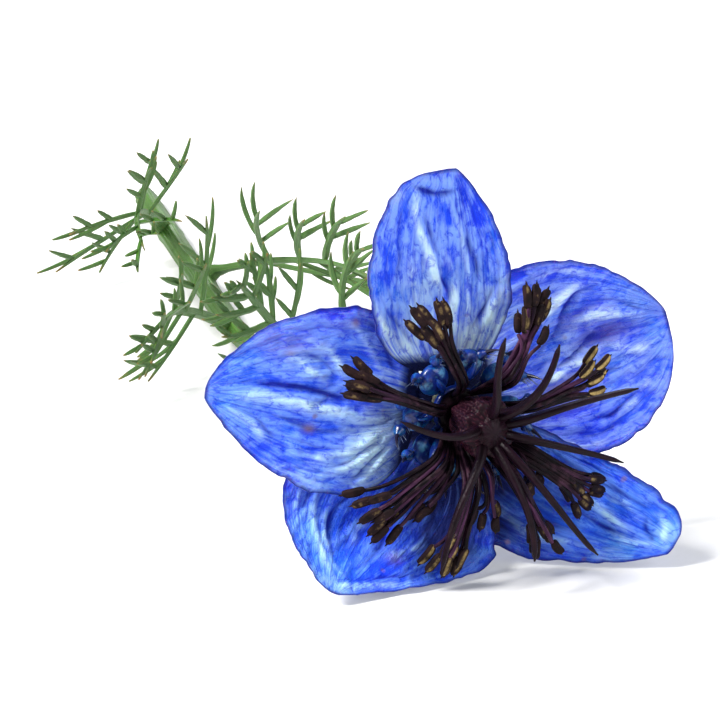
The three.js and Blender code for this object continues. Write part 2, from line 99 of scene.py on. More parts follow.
def new_finish(name, **constants):
    """A material with its Principled shader's plain values set: (material, tree, shader)."""
    material = bpy.data.materials.new(name)
    material.use_nodes = True
    tree = material.node_tree
    shader = tree.nodes["Principled BSDF"]
    for socket, value in constants.items():
        shader.inputs[socket.replace("_", " ")].default_value = value
    return material, tree, shader


matt_table, tree, shader = new_finish("matt_table", Roughness=0.7)
place = node("TexCoord", tree=tree).outputs["Object"]
grey = spread(cloudy(place, TABLE_SPECKLE, 2.0), 0.0, 1.0, *TABLE_GREYS)
grey = node("CombineColor", {0: grey, 1: grey, 2: grey}).outputs[0]
tree.links.new(grey, shader.inputs["Base Color"])
half = TABLE_SIZE / 2
table = bpy.data.meshes.new("table_top")
corners = [(-half, -half, 0), (half, -half, 0), (half, half, 0), (-half, half, 0)]
table.from_pydata(corners, [], [(0, 1, 2, 3)])
table.materials.append(matt_table)
linked("table_top", table)

for name, place, size, watts, colour in LAMPS:
    data = bpy.data.lights.new(name, "AREA")
    data.size, data.energy, data.color = size, watts, colour
    lamp = linked(name, data)
    lamp.location = place
    aim(lamp, CAMERA_TARGET)

world = bpy.data.worlds.new("bright_studio")
bpy.context.scene.world = world
world.use_nodes = True
wall = world.node_tree.nodes["Background"].inputs
wall["Color"].default_value, wall["Strength"].default_value = (*STUDIO_COLOUR, 1), STUDIO_STRENGTH
bpy.context.scene.view_settings.view_transform = "Standard"

lens = bpy.data.cameras.new("camera")
lens.lens, lens.clip_start, lens.clip_end = CAMERA_LENS, 0.01, 20
camera = linked("camera", lens)
rise = radians(CAMERA_ELEVATION)
camera.location = Vector(CAMERA_TARGET) + CAMERA_DISTANCE * Vector((0, -cos(rise), sin(rise)))
aim(camera, CAMERA_TARGET)
bpy.context.scene.camera = camera

# ---- Stem and receptacle ----
# A green, finely ribbed herbaceous stem, solid but for its pith, cut on a slant with a knife. It
# arches down from the bloom and lies on the surface. Behind the bloom it swells into the disc that
# petals, nectaries, stamens and ovary grow from. From here on sizes are in millimetres.

MM = 0.001
UP = np.array([0.0, 0.0, 1.0])
BLOOM_MIDDLE = np.array([13.2545, -60.0074, 19.68])
FACE_TURN, FACE_LIFT = 25, 3  # degrees to the right of forward, and up
STEM_NECK, STEM_FOOT = 1.05, 1.7  # radii
STEM_REST = STEM_FOOT * cos(radians(15))  # how high the middle of its foot lies
STEM_ARCH = (34, 42)  # how far it runs on straight from either end of the arch
STEM_TOUCHDOWN, STEM_LYING = 92, 52  # how far behind the bloom it lands, and how much lies
STEM_HEADING, STEM_SLANT = 14, 0.5  # degrees to the left of straight back, and slope of the cut
RIB_CORNERS, GROOVE_REACH, FINE_LINES, LINE_DEPTH = 13, 0.88, 16, 0.018
STEM_SIDES, STEM_RINGS = 72, 420
STEM_START = 4.9  # behind the bloom, where the receptacle ends
RECEPTACLE = [  # distance behind the bloom's middle, and radius
    (-2.9, 0.9), (-2.4, 1.5), (-0.35, 1.55), (-0.05, 2.2), (0.15, 2.75), (0.6, 3.0),
    (1.1, 2.95), (1.6, 2.75), (2.1, 2.4), (2.6, 2.0), (3.1, 1.62), (3.8, 1.25),
]
LEAF_PLACES = [46, 62, 84, 106, 128]  # distances from the bloom, where the stem is a little thicker
JOINT_SWELL, JOINT_REACH = 0.16, 1.6
STEM_CUT = [  # rings drawn in from the rim: share of its radius, push outwards, how far inside
    (0.93, 0.05, 0.35), (0.86, 0.04, 0.6), (0.6, -0.05, 0.75),
    (0.4, -0.15, 0.85), (0.3, -0.8, 1), (0.15, -1.1, 1),
]
PITH_DEPTH = 1.2
SURFACE_GAP, SURFACE_GIVE = 0.02, 0.02


def unit(vectors):
    return vectors / np.maximum(np.linalg.norm(vectors, axis=-1, keepdims=True), 1e-12)


def eased(low, high, value):
    """0 up to low, 1 from high on, and smooth between them."""
    share = np.clip((value - low) / (high - low), 0, 1)
    return share * share * (3 - 2 * share)


def curve_points(corners, count):
    """Points along a quadratic or cubic Bezier curve."""
    s = np.linspace(0, 1, count)[:, None]
    corners = [np.asarray(corner, float) for corner in corners]
    while len(corners) > 1:
        corners = [a + (b - a) * s for a, b in zip(corners, corners[1:])]
    return corners[0]


def travelled(path):
    """How far along a path each of its points lies."""
    return np.concatenate([[0], np.cumsum(np.linalg.norm(np.diff(path, axis=0), axis=1))])


def circle(sides):
    turn = 2 * pi * np.arange(sides) / sides
    return np.stack([np.cos(turn), np.sin(turn)], -1)


def rings_along(path, up, sections):
    """Rings of corners across a path. sections holds [sideways, up] pairs for each point."""
    forward = unit(np.gradient(path, axis=0))
    side = unit(np.cross(up, forward))
    lift = np.cross(forward, side)
    return path[:, None] + side[:, None] * sections[..., :1] + lift[:, None] * sections[..., 1:]


def closed(rings, first, last):
    """The corners and faces of a skin over rings of corners, closed by a pole at either end."""
    count, sides = rings.shape[:2]
    now = np.arange(sides)
    after, start = (now + 1) % sides, sides * np.arange(count - 1)[:, None]
    quads = np.stack([start + now, start + after, start + sides + after, start + sides + now], -1)
    pole, end = np.full(sides, count * sides), (count - 1) * sides
    foot = np.stack([pole, after, now], -1)
    head = np.stack([pole + 1, end + now, end + after], -1)
    corners = np.concatenate([rings.reshape(-1, 3), [first, last]])
    return corners, quads.reshape(-1, 4).tolist() + foot.tolist() + head.tolist()


def by_ring(values, sides):
    """One value for each ring, given to all its corners, and the end ones to the poles as well."""
    return np.concatenate([np.repeat(values, sides), [values[0], values[-1]]])


def by_side(values, count):
    """One value for each corner of a ring, given to all the rings, and 0 to the poles."""
    return np.concatenate([np.tile(values, count), [0, 0]])


def skin(name, corners, faces, marks, material):
    """A smooth mesh object from corners in millimetres. Its material reads the marks."""
    mesh = bpy.data.meshes.new(name)
    mesh.from_pydata((corners * MM).tolist(), [], faces)
    for mark, values in marks.items():
        layer = mesh.attributes.new(mark, "FLOAT", "POINT")
        layer.data.foreach_set("value", np.asarray(values, np.float32))
    mesh.shade_smooth()
    mesh.materials.append(material)
    return linked(name, mesh)


def marks_of(tree, *names):
    """The numbers that skin() left on each corner under these names."""
    return [node("Attribute", tree=tree, attribute_name=name).outputs["Fac"] for name in names]


def calc(operation, a, b=0.0, clamp=False):
    return node("Math", {0: a, 1: b}, operation=operation, use_clamp=clamp).outputs[0]


def times(a, b):
    return calc("MULTIPLY", a, b)


def plus(a, b):
    return calc("ADD", a, b)


def blend(share, a, b):
    """Colour a, or b where share is 1."""
    return node("Mix", {0: share, 6: a, 7: b}, data_type="RGBA").outputs[2]


def coated(colour, *coats):
    """A colour with others laid over it, each given as its share and its colour."""
    for share, coat in coats:
        colour = blend(share, colour, coat)
    return colour


def new_group(name, entries, **leaves):
    """An empty shader node group: (tree, its inputs, a function that joins an output)."""
    tree = bpy.data.node_groups.new(name, "ShaderNodeTree")
    new_socket = tree.interface.new_socket
    for label, value in entries.items():
        new_socket(name=label, in_out="INPUT", socket_type="NodeSocketFloat").default_value = value
    for label, kind in leaves.items():
        new_socket(name=label, in_out="OUTPUT", socket_type="NodeSocket" + kind)
    entry, leave = tree.nodes.new("NodeGroupInput"), tree.nodes.new("NodeGroupOutput")
    return tree, entry.outputs, lambda label, value: tree.links.new(value, leave.inputs[label])


def plant_cells():
    """Living plant skin: soft mottling, and the fine bumps of its cells."""
    entries = {"Patch": 200.0, "Cell": 4000.0}
    tree, entry, leave = new_group("plant_cells", entries, Mottle="Float", Height="Float")
    place = node("TexCoord", tree=tree).outputs["Object"]
    patches = cloudy(place, entry["Patch"], 4.0, 0.6)
    cells = node("TexVoronoi", {"Vector": place, "Scale": entry["Cell"]}, feature="SMOOTH_F1")
    leave("Mottle", spread(patches, 0.32, 0.68))
    leave("Height", calc("SUBTRACT", patches, times(cells.outputs[0], 0.5)))
    return tree


def fibre_streaks():
    """Long fine streaks that run the way a stem, leaf or petal grew. Across and Along are marks in
    millimetres or turns, and Fine and Long say how many streaks there are to one of them."""
    entries = {"Across": 0.0, "Along": 0.0, "Fine": 10.0, "Long": 0.2, "Wander": 0.0, "Seed": 0.0}
    tree, entry, leave = new_group("fibre_streaks", entries, Streak="Float")
    across, along = times(entry["Across"], entry["Fine"]), times(entry["Along"], entry["Long"])
    lay = node("CombineXYZ", {0: across, 1: along, 2: entry["Seed"]}).outputs[0]
    leave("Streak", spread(cloudy(lay, 1.0, 3.0, 0.55, entry["Wander"]), 0.3, 0.7))
    return tree


PLANT_CELLS, FIBRE_STREAKS = plant_cells(), fibre_streaks()


def cells_in(tree, patch, cell):
    """The mottling and the fine bumps of plant skin, for a material or a group."""
    made = node("Group", tree=tree, node_tree=PLANT_CELLS)
    made.inputs["Patch"].default_value, made.inputs["Cell"].default_value = patch, cell
    return made.outputs["Mottle"], made.outputs["Height"]


def grain(across, along, fine, long, seed=0.0, wander=0.0):
    """Streaks that run along a piece, for a material or a group."""
    laid = {"Fine": fine, "Long": long, "Seed": seed, "Wander": wander}
    laid = {"Across": across, "Along": along, **laid}
    return node("Group", laid, node_tree=FIBRE_STREAKS).outputs["Streak"]


def dressed(finish, colour, roughness, height, depth, distance):
    """Joins a colour, a roughness and a bump of some height, strength and distance to a material's
    shader, and returns the material."""
    material, tree, shader = finish
    bump = node("Bump", {"Height": height, "Strength": depth, "Distance": distance}).outputs[0]
    for socket, value in {"Base Color": colour, "Roughness": roughness, "Normal": bump}.items():
        tree.links.new(value, shader.inputs[socket])
    return material


turn, lift = radians(FACE_TURN), radians(FACE_LIFT)
FACING = np.array([sin(turn) * cos(lift), -cos(turn) * cos(lift), sin(lift)])
RIGHT = unit(np.cross(UP, FACING))
TOP = np.cross(FACING, RIGHT)

heading, halfway = radians(STEM_HEADING), radians((FACE_TURN + STEM_HEADING) / 2)
LYING = np.array([-sin(heading), cos(heading), 0.0])
landing = [-STEM_TOUCHDOWN * sin(halfway), STEM_TOUCHDOWN * cos(halfway), STEM_REST]
landing = BLOOM_MIDDLE * [1, 1, 0] + landing
leaving, arriving = BLOOM_MIDDLE - STEM_ARCH[0] * FACING, landing - STEM_ARCH[1] * LYING
arch = curve_points([BLOOM_MIDDLE, leaving, arriving, landing], 2001)
arch_distance = travelled(arch)
ARCH_LENGTH = arch_distance[-1]
STEM_LENGTH = ARCH_LENGTH + STEM_LYING


def stem_point(distance):
    """The stem's middle at distances from the bloom along it."""
    distance = np.asarray(distance, float)
    on_arch = np.stack([np.interp(distance, arch_distance, axis) for axis in arch.T], -1)
    return on_arch + np.maximum(distance - ARCH_LENGTH, 0)[..., None] * LYING


def stem_radius(distance):
    return STEM_NECK + (STEM_FOOT - STEM_NECK) * eased(0, 0.9 * ARCH_LENGTH, distance)


def ribbed_circle(sides):
    """The outline of the stem at radius 1: four flat-topped ribs, one of them straight down, with a
    groove between each two, and fine lines all round."""
    turn = 2 * pi * np.arange(sides) / sides
    corner = np.radians(-75 + 30 * np.arange(RIB_CORNERS))
    reach = np.where(np.arange(RIB_CORNERS) % 3 == 1, GROOVE_REACH, 1.0)
    at = np.stack([reach * np.cos(corner), reach * np.sin(corner)], -1)
    spot = ((turn - corner[0]) % (2 * pi)) / radians(30)
    low = np.floor(spot).astype(int) % (RIB_CORNERS - 1)
    share = (spot - np.floor(spot))[:, None]
    outline = at[low] + (at[low + 1] - at[low]) * share
    return outline * (1 - LINE_DEPTH * (1 + np.cos(FINE_LINES * turn)))[:, None]


def build_stem():
    spots, radii = np.array(RECEPTACLE).T
    distance = np.concatenate([spots, np.linspace(STEM_START, STEM_LENGTH, STEM_RINGS)])
    behind = BLOOM_MIDDLE - distance[:, None] * FACING
    path = np.where(distance[:, None] < STEM_START, behind, stem_point(distance))
    radius = np.concatenate([radii, stem_radius(distance[len(radii):])])
    for place in LEAF_PLACES:
        radius = radius + JOINT_SWELL * np.exp(-(((distance - place) / JOINT_REACH) ** 2))
    ribbed = eased(-0.5, 6, distance)[:, None, None]
    shape = circle(STEM_SIDES) * (1 - ribbed) + ribbed_circle(STEM_SIDES) * ribbed
    rings = rings_along(path, UP, shape * radius[:, None, None])
    low = rings[..., 2] < SURFACE_GAP
    rings[low, 2] = SURFACE_GAP + SURFACE_GIVE * (rings[low, 2] - SURFACE_GAP)
    # the slanting cut: a rim of bark, a paler ring and the hollow pith
    rings[-1] += STEM_SLANT * (rings[-1, :, 2:] - STEM_REST) * LYING
    rim, middle = rings[-1], rings[-1].mean(0)
    cut = [middle + (rim - middle) * share + LYING * push for share, push, _ in STEM_CUT]
    corners, faces = closed(np.concatenate([rings, cut]), path[0], middle - PITH_DEPTH * LYING)
    # the place round the stem wraps, so the streaks read it as a circle
    east, north = (by_side(values, len(path) + len(cut)) for values in circle(STEM_SIDES).T)
    along = np.concatenate([travelled(path), np.full(len(cut), STEM_LENGTH)])
    inside = np.concatenate([np.zeros(len(path)), [share for _, _, share in STEM_CUT]])
    along, inside = by_ring(along, STEM_SIDES), by_ring(inside, STEM_SIDES)
    return corners, faces, {"along": along, "east": east, "north": north, "cut": inside}


def stem_finish():
    finish = new_finish(
        "ribbed_green_stem", Roughness=0.45, Specular_IOR_Level=0.45,
        Subsurface_Weight=0.08, Subsurface_Scale=0.001,
    )
    along, east, north, cut = marks_of(finish[1], "along", "east", "north", "cut")
    mottle, bumps = cells_in(finish[1], 170.0, 3200.0)
    streaks = grain(east, along, 7.0, 0.09, times(north, 7.0))
    # purplish brown under the bloom, as such stems are in the sun
    flush = times(spread(along, 30.0, 6.0), spread(streaks, 0.1, 0.9, 0.35, 1.0))
    green = coated(
        blend(streaks, (0.022, 0.08, 0.01), (0.08, 0.19, 0.028)),
        (times(mottle, 0.45), (0.06, 0.12, 0.02)),
        (flush, (0.075, 0.045, 0.05)),
    )
    # on the cut, bark, then a paler ring, then dry pith
    dry = coated(
        blend(spread(cut, 0.0, 0.3), (0.1, 0.2, 0.05), (0.2, 0.22, 0.07)),
        (spread(cut, 0.3, 0.6), (0.5, 0.55, 0.27)),
        (spread(cut, 0.6, 1.0), (0.3, 0.26, 0.13)),
    )
    colour, height = blend(spread(cut, 0.0, 0.3), green, dry), plus(times(streaks, 0.7), bumps)
    return dressed(finish, colour, spread(mottle, 0, 1, 0.38, 0.58), height, 0.45, 0.0002)


stem = skin("ribbed_stem", *build_stem(), stem_finish())
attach(stem, "root")
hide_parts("stem")

# ---- Leaves ----
# Finely cut leaves, each a midrib with pairs of narrow pinnae that fork into flat, channelled,
# sharp lobes. They are thin living leaf, dull green above and paler below, and each grows from a
# joint of the stem, on alternate sides, and leans towards the bloom.

LEAF_SHAPES = [  # side of the stem, slant, length, spread, climb, droop
    (50, 52, 30, 12, -0.1, 4),
    (-56, 46, 38, 14, 0, 10),
    (58, 44, 44, 16, 0, 14),
    (-48, 42, 44, 17, 0, 16),
    (44, 40, 44, 16, 0, 16),
]
LEAF_PAIRS, LEAF_FIRST, LEAF_LAST, LEAF_ANGLE = 5, 0.26, 0.92, 44
MIDRIB, PINNA, LOBE, LOBELET = (0.7, 60), (0.55, 30), (0.48, 22), (0.4, 22)  # half width, rings
LEAF_THICKNESS, LEAF_LOWEST, LEAF_CLEARANCE = 0.8, 1.2, 0.3
STRAND_THICKNESS, STRAND_THINNEST, STRAND_NARROWEST = 0.34, 0.07, 0.05  # halves
FOOT_SWELL, LOBE_PINCH = (0.7, 0.035), (-0.35, 0.08)  # of the width, and within what share
STRAND_SECTION = np.array([  # a shallow channel above, and a keel below
    (1, 0.35), (0.72, 0.85), (0.42, 0.7), (0.16, 0.3), (0, 0.12), (-0.16, 0.3), (-0.42, 0.7),
    (-0.72, 0.85), (-1, 0.35), (-0.72, -0.2), (-0.42, -0.42), (-0.16, -0.72), (0, -1),
    (0.16, -0.72), (0.42, -0.42), (0.72, -0.2),
])


def vary(n):
    """A number from 0 to 1 that looks random and is always the same for the same n."""
    scattered = np.sin(np.asarray(n, float) * 12.9898) * 43758.5453
    return scattered - np.floor(scattered)


def joined(parts):
    """Several (corners, faces, marks) as one, whose marks all have the same names."""
    corners, faces, marks, count = [], [], {}, 0
    for part_corners, part_faces, part_marks in parts:
        corners.append(part_corners)
        faces += [[corner + count for corner in face] for face in part_faces]
        for name, values in part_marks.items():
            marks.setdefault(name, []).append(np.broadcast_to(values, len(part_corners)))
        count += len(part_corners)
    marks = {name: np.concatenate(values) for name, values in marks.items()}
    return np.concatenate(corners), faces, marks


def rested(height):
    """A strand's height, eased so that it comes to lie on the surface and not under it."""
    over = height - LEAF_LOWEST
    return LEAF_LOWEST + (over + np.sqrt(over * over + 2)) / 2


def leaf_strands(length, spread_out, climb, droop, seed):
    """The strands of a leaf over its own plane, each the corners of a curve and its make."""

    def height(x):
        return climb * x - droop * (x / length) ** 2

    end = [length, 0, height(length)]
    strands = [([[0, 0, 0], [length / 2, 0.04 * length, climb * length / 2], end], MIDRIB)]
    for n in range(2 * LEAF_PAIRS):
        side, share = (1 if n % 2 else -1), (n // 2) / (LEAF_PAIRS - 1)
        dice = [float(vary(seed + n + throw / 10)) for throw in range(9)]
        along = LEAF_FIRST + (LEAF_LAST - LEAF_FIRST) * share - 0.035 * (n % 2)
        x = length * (along + 0.04 * (dice[1] - 0.5))
        reach = spread_out * (1 - 0.58 * share) * (0.85 + 0.3 * dice[2])
        turn = radians((1.1 - 0.5 * share) * LEAF_ANGLE + 12 * (dice[3] - 0.5))
        lift = 0.8 * (dice[4] - 0.4) * reach
        root = np.array([x, 0.08 * x * (1 - x / length), height(x)])

        def beyond(along, aside, up):
            return root + np.array([along, side * aside, up + height(x + along) - height(x)])

        bend = beyond(0.45 * reach * cos(turn), 0.62 * reach * sin(turn), 0.6 * lift)
        tip = beyond(reach * cos(0.55 * turn), reach * sin(turn), lift)
        strands.append(([root, bend, tip], PINNA))
        along_pinna = curve_points([root, bend, tip], 101)
        # the finest lobes, by turns on either side and further out
        near = side if dice[5] < 0.5 else -side
        forks = [  # place, side, how far it opens, size, make
            (0.42, near, 38, 0.26, LOBE),
            (0.3 + 0.06 * dice[8], -near, 40, 0.2, LOBELET),
            (0.6 + 0.08 * dice[6], -near, 32, 0.24, LOBELET),
            (0.76 + 0.06 * dice[7], near, 28, 0.2, LOBELET),
        ]
        for place, fork, opening, size, make in forks[0 if share < 0.6 else 1:]:
            start = along_pinna[int(100 * place)]
            bent = 1.25 - 0.6 * place if place > 0.5 else 1
            heading = side * turn * bent + fork * radians(opening)
            middle = start + size * reach * np.array([cos(heading), sin(heading), 0.2])
            arriving = np.array([cos(0.5 * heading), sin(0.5 * heading), 0.1])
            strands.append(([start, middle, middle + size * reach * arriving], make))
    return strands


def build_leaf(number):
    side_turn, slant, length, spread_out, climb, droop = LEAF_SHAPES[number]
    at = LEAF_PLACES[number]
    back = unit(stem_point(at + 0.5) - stem_point(at - 0.5))
    side = unit(np.cross(UP, back))
    turn, slant = radians(side_turn), radians(slant)
    out = side * sin(turn) + np.cross(back, side) * cos(turn)
    ahead = out * sin(slant) - back * cos(slant)
    upper = out * cos(slant) + back * sin(slant)
    across = np.cross(upper, ahead)
    seat = stem_radius(at) + LEAF_CLEARANCE + LEAF_THICKNESS / 2 * cos(slant)
    root = stem_point(at) + out * seat
    parts = []
    strand_x, strand_y = STRAND_SECTION.T
    sides, under = len(STRAND_SECTION), np.where(np.abs(strand_x) == 1, 0.5, strand_y < 0)
    strands = leaf_strands(length, spread_out, climb, droop, 100 * (number + 1))
    for order, (corners, (width, count)) in enumerate(strands):
        path = curve_points(corners, count) @ np.stack([ahead, across, upper]) + root
        path[:, 2] = rested(path[:, 2])
        s = np.linspace(0, 1, count)
        if order == 0:
            # the foot of the midrib broadens and clasps the stem
            foot = root - out * (seat - 0.55 * stem_radius(at)) - ahead * 0.4
            path = np.concatenate([[foot, foot + (path[0] - foot) * 0.5], path])
            s = np.concatenate([[0, 0], s])
        taper = (1 - s ** 3.2) ** 0.75
        (swell, within), thinner = (LOBE_PINCH, 0.85) if order else (FOOT_SWELL, 1.0)
        flare = 1 + swell * np.exp(-((s / within) ** 2))
        wave = 1 + 0.06 * np.sin(9 * s + order) + 0.04 * np.sin(23 * s + 2 * order)
        widths = np.maximum(width * taper * flare * wave, STRAND_NARROWEST)
        thick = STRAND_THICKNESS * thinner * (0.45 + 0.55 * taper)
        thick = np.maximum(thick, STRAND_THINNEST)
        section = np.stack([widths, thick], -1)[:, None] * STRAND_SECTION
        corners, faces = closed(rings_along(path, upper, section), path[0], path[-1])
        parts.append((corners, faces, {
            "along": by_ring(travelled(path), sides), "tip": by_ring(s, sides),
            "off_middle": by_side(np.abs(strand_x), len(path)),
            "under": by_side(under, len(path)), "strand": order + 0.37 * number,
        }))
    return joined(parts)


def leaf_finish():
    finish = new_finish(
        "cut_leaf_green", Specular_IOR_Level=0.25, Subsurface_Weight=0.12, Subsurface_Scale=0.0008
    )
    names = "off_middle", "tip", "under", "along", "strand"
    off_middle, tip, under, along, strand = marks_of(finish[1], *names)
    mottle, bumps = cells_in(finish[1], 260.0, 4200.0)
    streaks = grain(off_middle, along, 6.0, 0.3, strand)
    upper = coated(
        blend(streaks, (0.012, 0.068, 0.006), (0.055, 0.165, 0.014)),
        (times(mottle, 0.5), (0.05, 0.12, 0.012)),
        (times(spread(off_middle, 0.3, 0.0), 0.7), (0.11, 0.24, 0.04)),  # the rib
    )
    lower = blend(streaks, (0.06, 0.14, 0.035), (0.12, 0.23, 0.07))
    scorched = times(spread(tip, 0.86, 1.0), spread(mottle, 0.2, 0.8))
    colour = coated(blend(under, upper, lower), (scorched, (0.23, 0.15, 0.05)))
    roughness, height = spread(mottle, 0, 1, 0.36, 0.55), plus(streaks, bumps)
    return dressed(finish, colour, roughness, height, 0.5, 0.00015)


leaf_material = leaf_finish()
for number in range(len(LEAF_SHAPES)):
    leaf = skin(f"feathered_leaf_{number + 1}", *build_leaf(number), leaf_material)
    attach(leaf, "root")
    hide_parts(f"leaf_{number + 1}")
